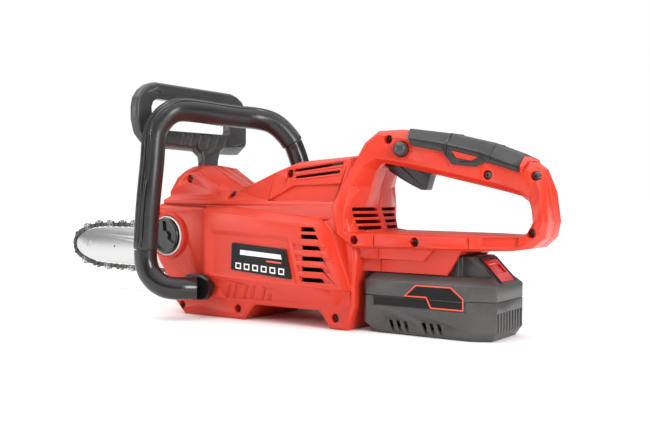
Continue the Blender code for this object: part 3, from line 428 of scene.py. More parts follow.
def sunk_panel(name, line, depth, reach, sign):
    """Tool for a recess whose floor follows the housing's side, from depth below it out to reach."""
    inner = [(x, sign * (abs(side_y(x, z, sign)) - depth), z) for x, z in line]
    outer = [(x, sign * reach, z) for x, z in line]
    return loft(name, [inner, outer])


def bar_pocket(sign):
    """Long shallow recess in the lower bar's tapering side, near the rear."""
    line = [(272.9, 83.4), (300, 84.2), (300, 77.4), (273, 76.2)]
    return sunk_panel("bar_pocket", line, 1.9, 50.0, sign)


def roof_step(sign):
    """Lower panel on the roof's slope, which leaves an arrow-shaped step below the slots."""
    line = [(66, 111.5), (92, 125.3), (142.6, 127.0), (137.5, 111.5)]
    return sunk_panel("roof_step", line, 2.2, 62.0, sign)


def shells():
    """Both halves of the housing, with the shallow detail that the CAD leaves out."""
    for side, sign, extra in (("left", -1, louvre_recesses()), ("right", 1, [])):
        node = side + "_housing_shell"
        shell = cad_copy(node, "shell_" + side)
        boolean(shell, extra + seam_cuts(sign) + [bar_pocket(sign), roof_step(sign)])
        keep(soften(shell, 0.5), RED, replaces=[node])


def roof_rims():
    """Raised rims round the slots in the roof's slopes."""
    half, wire = 2.5, 0.8
    rims = []
    for sign in (-1, 1):
        for first, z_first, last, z_last in ((88.0, 138.6, 141.0, 145.0), (91.0, 132.6, 139.0, 137.4)):
            corners = [(first - 2, z_first - half), (last + 1, z_last - half), (last + 1, z_last + half),
                       (first - 2, z_first + half)]
            track = fillet(corners, 2.2, 4)
            track = spaced(track + track[:1])[:-1]
            route = [Vector((p.x, side_y(p.x, p.y, sign), p.y)) for p in track]
            rings = []
            for i, here in enumerate(route):
                ahead = (route[(i + 1) % len(route)] - route[i - 1]).normalized()
                out = ahead.cross(Vector((0, sign * 0.5, 0.87))).normalized()
                up = out.cross(ahead)
                turns = [k * math.pi / 4 for k in range(8)]
                rings.append([here + (out * math.cos(t) + up * math.sin(t)) * wire for t in turns])
            rims.append(loft("rim", rings, loop=True))
    keep(merge("roof_slot_rims", rims), RED)


def vent_shade_sheet():
    """Dark sheet on the saw's mid-plane behind the slots in the roof: painted shade that stands in for the
    dark inside of the vents.
    """
    shade_sheet = prism("vent_shade_sheet", [(92, 127.5), (142, 131), (144, 144), (92, 142.5)], -0.6, 0.6)
    keep(soften(shade_sheet, 0.2), BLACK)


def raised_lines():
    """Narrow ridges along the upper grip and down the brake hump."""
    steps = 16
    lines = []
    for sign in (-1, 1):
        under = [(201.5, 156.6), (229.3, 151.6), (236.5, 142.2)]
        lines.append(draped_side("line", under, 0.45, sign))
        for (x0, y0), (x1, y1) in (((-37, 30), (-2, 30)), ((-22, 15), (10, 15))):
            route = []
            for k in range(steps + 1):
                x, y = x0 + (x1 - x0) * k / steps, sign * (y0 + (y1 - y0) * k / steps)
                route.append((x, y, top_z(x, y)))
            lines.append(sweep("line", route, 0.55, 8, (0.0, 1.0, 0.0)))
    keep(merge("raised_lines", lines), RED)


# X and Z of each housing screw, and how far its head's seat is from the saw's mid-plane.
SCREWS = (
    (-37.0, 8.5, 38.0), (33.0, 10.0, 38.0), (142.0, 10.0, 38.0), (17.0, 115.5, 28.0),
    (84.0, 136.0, 25.0), (-38.5, 132.0, 27.0), (161.0, 78.5, 36.0), (181.0, 165.0, 15.0),
    (270.5, 134.0, 13.0), (310.5, 133.0, 12.0), (309.8, 88.0, 13.0), (217.5, 78.5, 34.0),
)


def screw(x, z, seat, number):
    """Button-head screw with a six-lobed socket."""
    face = -seat - 2.9

    def lobes(radius, turn):
        return radius * (1 + 0.16 * math.cos(6 * turn)) if radius < 2.0 else radius

    profile = [(face + 1.6, 0.15), (face + 1.5, 1.65), (face + 0.05, 1.75), (face, 2.3), (face + 0.35, 3.0),
               (face + 1.0, 3.35), (face + 2.4, 3.4), (face + 2.6, 1.7), (8.0, 1.7), (9.8, 0.5)]
    piece = turned("body_screw_%02d" % number, profile, (x, z), 36, lobes)
    keep(piece, DARK, replaces=["housing_screw_%02d" % number])


def screws():
    for number, (x, z, seat) in enumerate(SCREWS, 1):
        screw(x, z, seat, number)


# ---------------------------------------------------------------- front handle and guard

# X and Z of the handle's left screw, and of the pad under it.
SOCKET = (2.7, 27.9)
PAD_MIDDLE = (-0.3, 30.0)
PAD_R = 11.3
PAD_STRETCH = 11.0

# Radii of the handle's lower leg, its right leg, its core inside the grip, and the grip.
LOWER_R, RIGHT_R, CORE_R, GRIP_R = 10.6, 9.8, 8.4, 11.1

# Middle line of the handle's tube, from the left fastening over the top to the right side.
HANDLE_ROUTE = [
    (2.7, -56, 27.9), (1.8, -63, 28), (-4.7, -76, 29), (-10.2, -83.5, 29.4), (-16.6, -90, 31.2),
    (-23.7, -94.5, 36.2), (-30.2, -97, 44.4), (-33.1, -98, 53.6), (-33.7, -98, 64.7),
    (-33.6, -98, 68.5), (-32, -97.5, 97), (-30.4, -96.5, 120), (-29.5, -94, 145), (-29.5, -92, 165.4),
    (-28.6, -90, 176), (-25, -86.5, 185), (-20.8, -80, 192.3), (-17.3, -70, 196), (-13.9, -46, 196.2),
    (-10.2, -21, 195.1), (-4.6, 3, 194.3), (-0.4, 14, 194.2), (5.1, 23, 193.2), (11.7, 31, 190.8),
    (18.3, 37.5, 185.3), (24, 43, 177.5), (27, 46, 172), (28.5, 47.8, 168.5), (30, 50, 162.7),
    (32.6, 52.5, 152.6), (35.8, 54.8, 137.2), (39, 55, 112.6), (40, 55, 98),
]

# The grip's first and last points on that line, and the curve's steps between two of its points.
GRIP_FROM, GRIP_TO = 8, 27
STEPS = 5


def left_pad():
    """Rounded pad under the handle's left end, stretched towards the bend of the tube."""
    def ring(level, grow):
        points = []
        for k in range(48):
            turn = 2 * math.pi * k / 48
            x, z = (PAD_R + grow) * math.cos(turn), (PAD_R + grow) * math.sin(turn)
            points.append((PAD_MIDDLE[0] + x - (PAD_STRETCH if x < 0 else 0.0), level, PAD_MIDDLE[1] + z))
        return points

    levels = ((-52.4, -0.2), (-55.0, 0.0), (-61.0, 0.0), (-62.2, -0.5), (-62.9, -1.5), (-63.0, -2.5))
    return loft("handle_pad", [ring(level, grow) for level, grow in levels])


def handle_tube():
    """Bare tube at both ends of the grip, its thin core inside the grip, and the pad at its left end."""
    path = smooth_path(HANDLE_ROUTE, STEPS)
    first, last = GRIP_FROM * STEPS, GRIP_TO * STEPS
    lower = sweep("lower_leg", path[:first + 3], LOWER_R, 40)
    pad = left_pad()
    oblique = [(-1.5, -63.1), (16.5, -83.1), (40.0, -83.1), (40.0, -63.1)]
    boolean(lower, [upright_prism("end_cut", oblique, 8.0, 52.0)])
    boolean(pad, [turned("hole", [(-110, 4.0), (-60.4, 4.0)], SOCKET, 32)])
    right = sweep("right_leg", path[last - 1:], RIGHT_R, 40)
    core = sweep("core", path[first:last], CORE_R, 24)
    tube = merge("handle_tube", [lower, right, core])
    keep(pad, GUARD)
    keep(tube, GLOSS, replaces=["front_handle_tube"])


def handle_grip():
    """Grip sleeve with grooves along the outer side of the bend."""
    path = smooth_path(HANDLE_ROUTE, STEPS)[GRIP_FROM * STEPS + 3:GRIP_TO * STEPS]
    sides, last = 112, len(path) - 1
    groove_angles, groove_half, groove_depth = (-0.86, -0.5, -0.17, 0.17, 0.5, 0.86), 0.085, 1.4
    middle = Vector((0.0, -20.0, 95.0))
    rings = []
    for i, (centre, (u, v)) in enumerate(zip(path, frames(path))):
        away = Vector(centre) - middle
        outward = math.atan2(away.dot(v), away.dot(u))
        end = min(i, last - i)
        ring = []
        for k in range(sides):
            turn = 2 * math.pi * k / sides
            off = (turn - outward + math.pi) % (2 * math.pi) - math.pi
            groove = 0.0
            for spot in groove_angles:
                near = abs(off - spot) / groove_half
                if near < 1.0 and end > 2:
                    groove = groove_depth * (1 - near * near)
            reach = GRIP_R - groove - (0.6 if end == 0 else 0.0)
            ring.append(Vector(centre) + (u * math.cos(turn) + v * math.sin(turn)) * reach)
        rings.append(ring)
    keep(loft("handle_sleeve", rings, crease=60.0), SOFT, replaces=["front_handle_grip"])


def handle_fasteners():
    """The screws that hold the handle's left end and its right leg."""
    profile = [(-60.3, 0.2), (-60.2, 1.7), (-61.8, 1.8), (-61.9, 2.6), (-61.2, 3.2), (-59.8, 3.35),
               (-59.7, 1.7), (-47.0, 1.7), (-46.8, 0.3)]
    keep(turned("handle_bolt_left", profile, SOCKET, 36), DARK, replaces=["handle_screw_left"])
    profile = [(45.5, 0.3), (45.6, 1.7), (65.2, 1.7), (65.3, 3.35), (66.8, 3.2), (67.6, 2.6), (67.5, 1.8),
               (66.1, 1.7), (66.0, 0.2)]
    keep(turned("handle_bolt_right", profile, (40, 105), 36), DARK, replaces=["handle_screw_right"])


def guard():
    """Hand guard with the flutes under its window and two tiny holes in its top corners."""
    lever = cad_copy("hand_guard", "guard_lever")
    rear = -46.0
    tools = []
    for k in range(6):
        y = -34 + 13.0 * k
        low, high = Vector((rear + 5.2, y - 3.5, 162.0)), Vector((rear + 5.2, y + 3.0, 177.0))
        along = (high - low).normalized()
        flat = [low + along * (t * 3.2) for t in range(6)]
        tools.append(sweep("flute", flat, 6.0, 24, (0, 1, 0)))
    hole_r, hole_z = 0.9, 214.5
    turns = [t * math.pi / 6 for t in range(12)]
    for y in (-66.5, 42.0):
        rings = [[(x, y + hole_r * math.cos(t), hole_z + hole_r * math.sin(t)) for t in turns]
                 for x in (rear - 1.5, rear + 3.0)]
        tools.append(loft("vent", rings))
    boolean(lever, tools)
    keep(soften(lever, 0.9, 3), GUARD, "hand_guard", ["hand_guard"])


# ---------------------------------------------------------------- oil filler

# X and Z of the oil cap's middle.
OIL_CAP = (-47.5, 76.0)


def arc_band(inner, outer, start, end):
    """Outline of part of a ring round the cap's middle, angles in degrees."""
    steps = 14
    band = []
    for reach, first, last in ((outer, start, end), (inner, end, start)):
        for k in range(steps + 1):
            turn = math.radians(first + (last - first) * k / steps)
            band.append((OIL_CAP[0] + reach * math.cos(turn), OIL_CAP[1] + reach * math.sin(turn)))
    return band


def oil_cap():
    """Cap with a curved grip web between two sunken half rings, inside a white and a red ring."""
    face = -55.5
    profile = [(face + 9.0, 9.6), (face + 9.0, 12.0), (face + 0.2, 12.0), (face, 17.0), (face - 3.2, 17.3),
               (face - 4.2, 16.8), (face - 4.6, 15.9), (face - 4.6, 0.3), (face - 1.4, 0.2),
               (face - 1.4, 9.5)]
    cap = turned("filler_cap", profile, OIL_CAP, 72)
    tools = [prism("finger_recess", arc_band(5.2, 14.4, start, start + 128), face - 9, face - 2.0)
             for start in (-30.0, 150.0)]
    boolean(cap, tools)
    keep(soften(cap, 0.35), GLOSS, "oil_cap", ["oil_cap"])
    ring = turned("filler_ring", [(-55.3, 17.6), (-55.8, 17.8), (-57.0, 18.0), (-57.3, 18.5), (-56.9, 19.0),
                                  (-53.0, 19.1), (-53.0, 17.6)], OIL_CAP, 72)
    keep(ring, WHITE)
    lip = turned("filler_lip", [(-52.0, 22.4), (-55.2, 22.6), (-56.2, 22.2), (-56.6, 21.3), (-56.2, 20.2),
                                (-55.6, 19.5), (-52.0, 19.4)], OIL_CAP, 72)
    keep(lip, RED)


# ---------------------------------------------------------------- label

# Y of the back and the face of the label plate, and of the marks that stand on it.
LABEL_BACK, LABEL_FACE = -58.5, -59.7
PRINT_BACK, PRINT_FACE = -59.6, -59.82


def label():
    """Plate with a plain bar, a row of empty squares and a red accent in place of its text."""
    outline = fillet([(37.8, 72.6), (99.1, 68.7), (105.5, 42.4), (36.8, 47.8)], 1.6, 4)
    backing = plate("name_plate", outline, LABEL_FACE, LABEL_BACK, 0.25)
    keep(backing, LABEL, replaces=["label_plate"])
    top = [(48.0, 66.4), (94.0, 63.7), (95.0, 59.6), (47.7, 62.0)]
    marks = [prism("mark", top, PRINT_FACE, PRINT_BACK)]
    for k in range(6):
        x = 42.5 + 9.8 * k
        z = 51.7 - 0.55 * k
        tile = [(x, z - 2.6), (x + 6.4, z - 3.0), (x + 6.4, z + 2.6), (x, z + 3.0)]
        hole = [(x + 1.1, z - 1.6), (x + 5.3, z - 1.8), (x + 5.3, z + 1.6), (x + 1.1, z + 1.8)]
        rings = [[(a, y, b) for a, b in line] for y, line in
                 ((PRINT_BACK, tile), (PRINT_FACE, tile), (PRINT_FACE, hole), (PRINT_BACK, hole))]
        marks.append(loft("mark", rings, loop=True))
    keep(merge("label_marks", marks), PRINT)
    accent = [(78.0, 58.0), (94.6, 57.1), (95.0, 55.7), (78.0, 56.6)]
    keep(prism("label_accent", accent, PRINT_FACE, PRINT_BACK), RED_LINE)


# ---------------------------------------------------------------- bar and chain

# Rivets round the chain, how far they are outside the bar, and the two faces of a side strap.
LINKS = 156
RIVET_LIFT = 3.5
STRAP_IN, STRAP_OUT = 0.9, 2.0


def bar_outline():
    """Edge of the guide bar in X and Z, from its nose round the top to the drive end and back."""
    nose_x, nose_z = 54.0, BAR_HALF - 1.5
    top = []
    for k in range(17):
        turn = math.pi / 2 * k / 16
        x = BAR_TIP_X + nose_x * (1 - math.cos(turn)) ** 0.92
        top.append((x, nose_z * math.sin(turn) ** 0.86))
    top += [(-150, BAR_HALF), (-36, BAR_HALF), (2, 17.5), (11, 12), (14, 5)]
    lower = [(x, -z) for x, z in reversed(top) if z > 0]
    return [(x, z + DRIVE_Z) for x, z in top + lower]


def hull(points):
    """Convex outline round points."""
    points = sorted(set(points))

    def half(ordered):
        chain = []
        for p in ordered:
            while len(chain) > 1:
                a, b = chain[-2], chain[-1]
                if (b[0] - a[0]) * (p[1] - a[1]) - (b[1] - a[1]) * (p[0] - a[0]) > 1e-9:
                    break
                chain.pop()
            chain.append(p)
        return chain[:-1]

    return half(points) + half(points[::-1])


def chain_route():
    """Line of the chain's rivets, just outside the bar and the drive sprocket."""
    turns = [k * math.pi / 24 for k in range(48)]
    wheel = [(SPINDLE_X + SPROCKET_R * math.cos(t), DRIVE_Z + SPROCKET_R * math.sin(t)) for t in turns]
    line = [Vector(p) for p in hull(bar_outline() + wheel)]
    moved = []
    for i, here in enumerate(line):
        n1 = (here - line[i - 1]).normalized()
        n2 = (line[(i + 1) % len(line)] - here).normalized()
        out = Vector((n1.y + n2.y, -(n1.x + n2.x))).normalized()
        moved.append(here + out * RIVET_LIFT)
    return moved


def along_route(route, count):
    """Evenly spaced points round a closed polyline."""
    closed = route + route[:1]
    lengths = [0.0]
    for a, b in zip(closed, closed[1:]):
        lengths.append(lengths[-1] + (b - a).length)
    total = lengths[-1]
    points, leg = [], 0
    for k in range(count):
        want = total * k / count
        while lengths[leg + 1] < want:
            leg += 1
        t = (want - lengths[leg]) / (lengths[leg + 1] - lengths[leg])
        points.append(closed[leg].lerp(closed[leg + 1], t))
    return points


def chain():
    """Drive links, tie straps, rivets and cutters round the bar."""
    pins = along_route(chain_route(), LINKS)
    straps, cutters = [], []
    end = 2.3

    def link_plate(store, a, b, outline, low, high):
        ahead = (b - a).normalized()
        out = Vector((ahead.y, -ahead.x))
        flat = [a + ahead * s + out * n for s, n in outline]
        store.append(prism("link", [(p.x, p.y) for p in flat], BAR_Y + low, BAR_Y + high))

    for k in range(LINKS):
        a, b = pins[k], pins[(k + 1) % LINKS]
        pitch = (b - a).length
        eye = [(-end, 0), (-1.7, 1.9), (0, end), (pitch, end), (pitch + 1.7, 1.9), (pitch + end, 0),
               (pitch + 1.7, -1.9), (pitch, -end), (0, -end), (-1.7, -1.9)]
        straps.append(turned("rivet", [(BAR_Y - 2.6, 1.0), (BAR_Y - 2.4, 1.3), (BAR_Y + 2.4, 1.3),
                                       (BAR_Y + 2.6, 1.0)], (a.x, a.y), 10))
        if k % 2 == 0:
            hump = [(-end, 0), (-1.4, 2.0), (pitch * 0.35, 2.0), (pitch * 0.6, 4.2), (pitch * 0.85, 2.6),
                    (pitch + end, 0), (pitch, -2.6), (pitch / 2, -2.8), (0, -2.6)]
            link_plate(straps, a, b, hump, -0.75, 0.75)
            continue
        kind = (k // 2) % 4
        if kind in (0, 2):
            side = 1 if kind == 0 else -1
            link_plate(straps, a, b, eye, *sorted((-side * STRAP_IN, -side * STRAP_OUT)))
            cutter = [(-end, -1.8), (-end, 1.4), (-1.6, 4.4), (-0.2, 4.5), (0.8, 1.8), (2.0, 1.6), (2.8, 5.5),
                      (pitch + 1.6, 4.7), (pitch + end, 1.2), (pitch + end, -1.8)]
            link_plate(cutters, a, b, cutter, *sorted((side * STRAP_IN, side * STRAP_OUT)))
            roof = [(2.7, 4.7), (2.7, 5.6), (pitch + 1.7, 4.9), (pitch + 1.7, 4.0)]
            link_plate(cutters, a, b, roof, *sorted((-side * 0.6, side * 2.8)))
        else:
            link_plate(straps, a, b, eye, -STRAP_OUT, -STRAP_IN)
            link_plate(straps, a, b, eye, STRAP_IN, STRAP_OUT)
    keep(merge("chain_links", straps), DARK, replaces=["saw_chain"])
    keep(merge("chain_cutters", cutters), BRIGHT)


def guide_bar():
    """The bar, the rivets of its nose on both faces, and one small mark."""
    bar = cad_copy("guide_bar", "bar_rails")
    keep(soften(bar, 0.4), BAR_STEEL, "bar", ["guide_bar"])
    rivets = []
    face, back = BAR_Y - 1.75, BAR_Y + 1.75
    for x, z, r in ((-284.0, 53.0, 2.6), (-279.5, 58.3, 1.2), (-279.5, 50.6, 1.0), (-290.0, 55.0, 1.6)):
        for side, low in ((-1, face), (1, back)):
            profile = [(low - side * 0.3, r), (low + side * 0.08, r), (low + side * 0.14, r * 0.8),
                       (low + side * 0.1, 0.1)]
            rivets.append(turned("rivet", profile, (x, z), 24))
    keep(merge("bar_rivets", rivets), STEEL, "bar")
    dot = turned("bar_mark", [(face + 0.2, 1.3), (face - 0.05, 1.3), (face - 0.06, 0.1)], (-237.7, 53.8), 20)
    keep(dot, DARK, "bar")


# ---------------------------------------------------------------- rear handle fittings

def rear_grip():
    """Soft cover of the upper grip with two raised bands, its red heel and its red badge."""
    wide, gap = 40.0, 0.3
    front, back = 298.6, 330.0
    end = [(front, 120.0), (front, 180.0), (back, 180.0), (back, 120.0)]
    grip = cad_copy("rear_grip", "rear_grip_cover")
    boolean(grip, [prism("end_cut", end, -wide, wide)])
    keep(soften(grip, 0.8), SOFT, replaces=["rear_grip"])
    heel = cad_copy("rear_grip", "rear_grip_heel")
    inset = [(front + gap, 120.0), (front + gap, 180.0), (back, 180.0), (back, 120.0)]
    boolean(heel, [prism("end_part", inset, -wide, wide)], "INTERSECT")
    heel.data.set_sharp_from_angle(angle=math.radians(30))
    keep(heel, RED)
    ribs = []
    half, rise = 0.7, 0.6
    for top_x, low_x in ((236.2, 233.4), (274.2, 272.8)):
        piece = cad_copy("rear_grip", "rib")
        band = [(top_x - half, 180), (top_x + half, 180), (low_x + half, 146), (low_x - half, 146)]
        boolean(piece, [prism("band", band, -wide, wide)], "INTERSECT")
        core = Vector((top_x, 0.0, 152.0)) * MM
        for vert in piece.data.vertices:
            away = vert.co - core
            away.x = 0.0
            vert.co += away.normalized() * rise * MM
        ribs.append(piece)
    keep(merge("grip_ribs", ribs), SOFT)
    inlay = cad_copy("grip_inlay", "grip_badge")
    keep(soften(inlay, 0.3), RED, replaces=["grip_inlay"])


def trigger_and_button():
    """Trigger, and the domed lock-off button with a thin stem inside the housing."""
    lever = cad_copy("trigger", "trigger_lever")
    keep(soften(lever, 1.1, 3), BLACK, "trigger", ["trigger"])
    profile = [(-13.4, 4.6), (-16.0, 4.7), (-16.1, 6.2), (-24.6, 6.3)]
    steps = 8
    turns = [math.pi / 2 * k / steps * 0.995 for k in range(1, steps + 1)]
    profile += [(-24.8 - 4.6 * math.sin(t), 0.3 + 6.0 * math.cos(t) ** 0.8) for t in turns]
    button = turned("lock_button", profile, (193.5, 156.3), 48)
    keep(button, GUARD, "lock_off_button", ["lock_off_button"])


# ---------------------------------------------------------------- battery

def flat_loop(name, line, width, low, high):
    """Flat closed band along an outline given in X and Z."""
    area = sum(a[0] * b[1] - b[0] * a[1] for a, b in zip(line, line[1:] + line[:1]))
    sign = 1.0 if area > 0 else -1.0
    inner = []
    for i, here in enumerate(line):
        here = Vector(here)
        n1 = (here - Vector(line[i - 1])).normalized()
        n2 = (Vector(line[(i + 1) % len(line)]) - here).normalized()
        m = Vector((-(n1.y + n2.y), n1.x + n2.x)) * sign
        m = m / max(0.35, 1 + n1.dot(n2))
        inner.append(tuple(here + m * width))
    rings = [[(a, y, b) for a, b in outline] for y, outline in
             ((low, line), (high, line), (high, inner), (low, inner))]
    return loft(name, rings, loop=True)


BADGE = [(205.7, 32.9), (216.6, 43.2), (248.9, 43.3), (260.2, 34.2), (260.1, 24.4), (230.6, 24.4),
         (226.3, 32.9)]

# How far the floor of the badge's recess is from the battery's mid-plane, and a plane outside the case.
RECESS_Y, OUTSIDE_Y = 37.5, 40.0


def battery_base():
    """Lower case; the pockets and slots are cut after its edges are rounded, so that they stay crisp."""
    lower = cad_copy("battery_lower_case", "battery_base")
    bands = []
    for side in (-1, 1):
        band = [(175.2, 23.4), (175.2, 31.0), (262.0, 31.0), (262.0, 23.4)]
        bands.append(prism("band", band, *sorted((side * RECESS_Y, side * OUTSIDE_Y))))
    grooves = []
    for k in range(9):
        y = -26.0 + 6.0 * k
        grooves.append(box("rib", (282.9, y, 4.5), (288.0, y + 2.8, 23.0)))
    soften(boolean(lower, bands + grooves), 0.5)

    pockets, slots = [], []
    for side in (-1, 1):
        for outline in ([(182.4, 1.0), (188.6, 12.9), (213.6, 12.9), (218.5, 1.0)],
                        [(222.3, 1.0), (223.6, 12.9), (246.5, 12.9), (257.0, 1.0)]):
            pockets.append(prism("pocket", outline, *sorted((side * 36.9, side * OUTSIDE_Y))))
        for first in (193.0, 224.0):
            for k in range(3):
                x = first + 6.8 * k
                slot = [(x + 1.2, 2.6), (x + 4.6, 2.6), (x + 1.6, 12.2), (x - 1.8, 12.2)]
                slots.append(prism("slot", slot, *sorted((side * 34.0, side * 41.0))))
    boolean(lower, pockets + slots)
    lower.data.set_sharp_from_angle(angle=math.radians(30))
    keep(lower, BATTERY, "battery", ["battery_lower_case"])


def battery_top():
    """Upper case with a recess for the badge on each side."""
    upper = cad_copy("battery_upper_case", "battery_top")
    panel = [(207.2, 32.0), (218.0, 42.2), (248.2, 42.3), (259.0, 33.6), (259.0, 32.0)]
    boolean(upper, [prism("panel", panel, *sorted((side * RECESS_Y, side * OUTSIDE_Y))) for side in (-1, 1)])
    keep(soften(upper, 0.8), BATTERY, "battery", ["battery_upper_case"])


def battery_badges():
    """Red outline round a dark panel, with a dark strip in front of it, on both sides."""
    for side, name in ((-1, "left"), (1, "right")):
        outline = flat_loop("badge_outline_" + name, BADGE, 1.1, *sorted((side * 37.3, side * 38.25)))
        keep(outline, RED_LINE, "battery")
        low, high = sorted((side * 37.2, side * 37.7))
        panel = [(BADGE[0][0] + 1.5, 33.3)] + BADGE[1:]
        keep(prism("badge_panel_" + name, panel, low, high), LABEL, "battery")
        strip = [(176.5, 24.2), (176.5, 30.6), (205.0, 30.6), (227.0, 30.6), (230.0, 24.2)]
        keep(prism("badge_strip_" + name, strip, low, high), LABEL, "battery")


def battery_latch():
    """Red release button, and the dark rim round it on the battery's sloping end."""
    button = cad_copy("battery_release_button", "release_button")
    keep(soften(button, 0.6, 3), RED_DEEP, "battery_release_button", ["battery_release_button"])
    top, bottom = Vector((262.0, 67.5)), Vector((283.0, 46.0))
    along = (bottom - top).normalized()
    out = Vector((-along.y, along.x))
    first, last = top + along * 4.2, bottom - along * 0.9
    rings = []
    for half, s0, s1, n in ((14.5, 0.0, 0.0, -0.4), (14.5, 0.0, 0.0, 1.3), (16.6, -1.6, 0.9, 1.3),
                            (16.9, -1.9, 1.0, -0.4)):
        a, b = first + along * s0 + out * n, last + along * s1 + out * n
        rings.append([(a.x, -half, a.y), (a.x, half, a.y), (b.x, half, b.y), (b.x, -half, b.y)])
    rim = loft("latch_rim", rings, loop=True)
    keep(soften(rim, 0.3), GLOSS, "battery")


# ---------------------------------------------------------------- right side

def right_side():
    """Sprocket cover with slanting grooves and dimples, its knob and the tensioning dial."""
    cover = cad_copy("sprocket_cover", "bar_cover")
    tools = []
    for k in range(6):
        x, low, high = 47.0 + 5.4 * k, 30 + k, 78 - 1.5 * k
        groove = [(x, low), (x + 2.2, low), (x + 6.5, high), (x + 4.3, high)]
        tools.append(prism("groove", groove, 84.2, 90))
    for x, z in ((-52, 86), (70, 84), (70, 26), (-46, 27)):
        tools.append(turned("dimple", [(83.9, 4.0), (90, 4.0)], (x, z), 24))
    boolean(cover, tools)
    keep(soften(cover, 1.0, 3), BLACK, replaces=["sprocket_cover"])
    knob = cad_copy("cover_knob", "cover_nut")
    keep(soften(knob, 0.8, 3), BLACK, "cover_knob", ["cover_knob"])
    dial = cad_copy("tension_dial", "tension_wheel")
    keep(soften(dial, 0.3), GUARD, "tension_dial", ["tension_dial"])


# CAD pieces that are shown as they are, and those among them that have no edges to round.
PLAIN = {
    "guard_pivot_pin": STEEL, "oil_tank": WHITE, "oil_hose": SOFT, "oil_pump": DARK, "motor_can": DARK,
    "gearbox_frame": CAST, "motor_bearing": STEEL, "spindle_bearing_inner": STEEL,
    "spindle_bearing_outer": STEEL, "bar_mount_plate": STEEL, "brake_band": STEEL, "chain_catcher": CAST,
    "trigger_pin": STEEL, "trigger_spring": STEEL, "switch_module": BLACK, "control_board": BOARD,
    "battery_terminal_block": BLACK, "tension_pin": DARK, "nose_sprocket": DARK, "spindle": STEEL,
    "large_gear": STEEL, "drive_sprocket": DARK, "brake_drum": STEEL, "pinion_shaft": STEEL,
    "armature": COPPER, "motor_fan": BLACK, "cell_pack": BLACK,
}
ROUND = ("trigger_spring", "oil_hose")


def plain_nodes():
    """Better finishes and softened edges for the CAD pieces that are shown as they are."""
    for node, mat in PLAIN.items():
        obj = NODES[node]
        dress(obj, mat)
        if node not in ROUND:
            soften(obj, 0.25)


# ---------------------------------------------------------------- studio

# The photo's camera: place in metres, direction in degrees and lens in millimetres.
CAMERA_SPOT = (0.559, -0.682, 0.117)
CAMERA_YAW, CAMERA_PITCH, CAMERA_ROLL = 33.9, 1.41, 0.4
CAMERA_LENS, CAMERA_SENSOR = 48.74, 36.0

# Each lamp's place, what it points at, its size and its power.
LIGHTS = {
    "key": ((1.3, -0.3, 0.45), (0.25, 0.0, 0.08), (0.35, 0.5), 9.0),
    "top_strip": ((-0.25, -0.55, 1.3), (0.0, 0.0, 0.1), (1.3, 0.25), 6.0),
    "left_box": ((-0.75, -1.05, 0.32), (0.0, 0.0, 0.1), (0.5, 0.5), 3.5),
}
FLOOR_HALF = 30.0
FLOOR_DROP = 0.0002


def camera():
    """Camera that sees the saw as the photo does."""
    yaw, pitch, roll = (math.radians(a) for a in (CAMERA_YAW, CAMERA_PITCH, CAMERA_ROLL))
    ahead = Vector((-math.sin(yaw) * math.cos(pitch), math.cos(yaw) * math.cos(pitch), -math.sin(pitch)))
    right = Vector((math.cos(yaw), math.sin(yaw), 0.0))
    down = ahead.cross(right)
    right, down = (right * math.cos(roll) - down * math.sin(roll),
                   right * math.sin(roll) + down * math.cos(roll))
    data = bpy.data.cameras.new("camera")
    data.sensor_width = CAMERA_SENSOR
    data.lens = CAMERA_LENS
    obj = bpy.data.objects.new("camera", data)
    rows = [[right[i], -down[i], -ahead[i], CAMERA_SPOT[i]] for i in range(3)]
    obj.matrix_world = Matrix(rows + [[0, 0, 0, 1]])
    bpy.context.scene.collection.objects.link(obj)
    bpy.context.scene.camera = obj


def area_light(name, spot, target, size, power):
    """Rectangular lamp turned towards a target."""
    data = bpy.data.lights.new(name, "AREA")
    data.shape = "RECTANGLE"
    data.size, data.size_y = size
    data.energy = power
    obj = bpy.data.objects.new(name, data)
    obj.location = spot
    obj.rotation_euler = (Vector(target) - Vector(spot)).to_track_quat("-Z", "Y").to_euler()
    bpy.context.scene.collection.objects.link(obj)


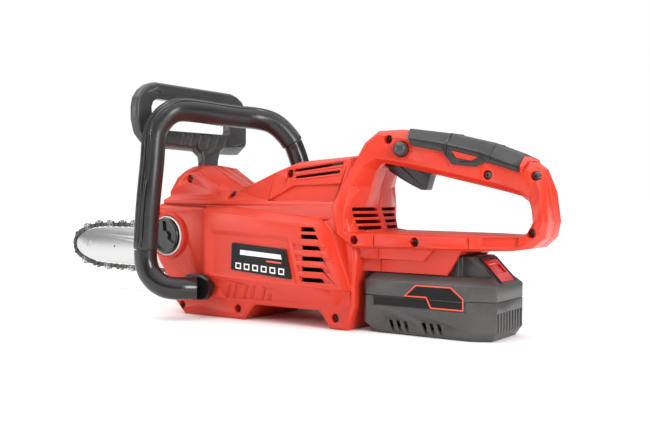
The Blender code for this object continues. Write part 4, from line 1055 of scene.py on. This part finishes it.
def pale_floor():
    """Large pale floor a hair below the saw's feet."""
    reach = FLOOR_HALF / MM
    corners = [(-reach, -reach, 0), (reach, -reach, 0), (reach, reach, 0), (-reach, reach, 0)]
    floor = make("floor", corners, [[0, 1, 2, 3]])
    floor.location.z = -FLOOR_DROP
    dress(floor, PALE)


def dome():
    """White backdrop to the camera; to everything else a dome that is brighter towards its top."""
    world = bpy.data.worlds.new("studio")
    world.use_nodes = True
    tree = world.node_tree
    seen = tree.nodes["Background"]
    seen.inputs["Color"].default_value = (1.0, 1.0, 1.0, 1.0)
    seen.inputs["Strength"].default_value = 1.0
    link = tree.links.new
    way = tree.nodes.new("ShaderNodeTexCoord")
    parts = tree.nodes.new("ShaderNodeSeparateXYZ")
    rise = tree.nodes.new("ShaderNodeMapRange")
    rise.interpolation_type = "SMOOTHSTEP"
    rise.inputs["From Min"].default_value = 0.1
    rise.inputs["From Max"].default_value = 0.95
    rise.inputs["To Min"].default_value = 0.12
    rise.inputs["To Max"].default_value = 2.15
    fill = tree.nodes.new("ShaderNodeBackground")
    link(way.outputs["Generated"], parts.inputs["Vector"])
    link(parts.outputs["Z"], rise.inputs["Value"])
    link(rise.outputs["Result"], fill.inputs["Strength"])
    path = tree.nodes.new("ShaderNodeLightPath")
    mix = tree.nodes.new("ShaderNodeMixShader")
    link(path.outputs["Is Camera Ray"], mix.inputs["Fac"])
    link(fill.outputs["Background"], mix.inputs[1])
    link(seen.outputs["Background"], mix.inputs[2])
    link(mix.outputs["Shader"], tree.nodes["World Output"].inputs["Surface"])
    bpy.context.scene.world = world


def studio():
    """Floor, backdrop and lamps, shown without any film look."""
    pale_floor()
    dome()
    for name, (spot, target, size, power) in LIGHTS.items():
        area_light(name, spot, target, size, power)
    bpy.context.scene.view_settings.view_transform = "Standard"
    bpy.context.scene.view_settings.look = "None"


# ---------------------------------------------------------------- build

camera()
shells()
roof_rims()
vent_shade_sheet()
raised_lines()
screws()
handle_tube()
handle_grip()
handle_fasteners()
guard()
oil_cap()
label()
chain()
guide_bar()
rear_grip()
trigger_and_button()
battery_base()
battery_top()
battery_badges()
battery_latch()
right_side()
plain_nodes()
studio()
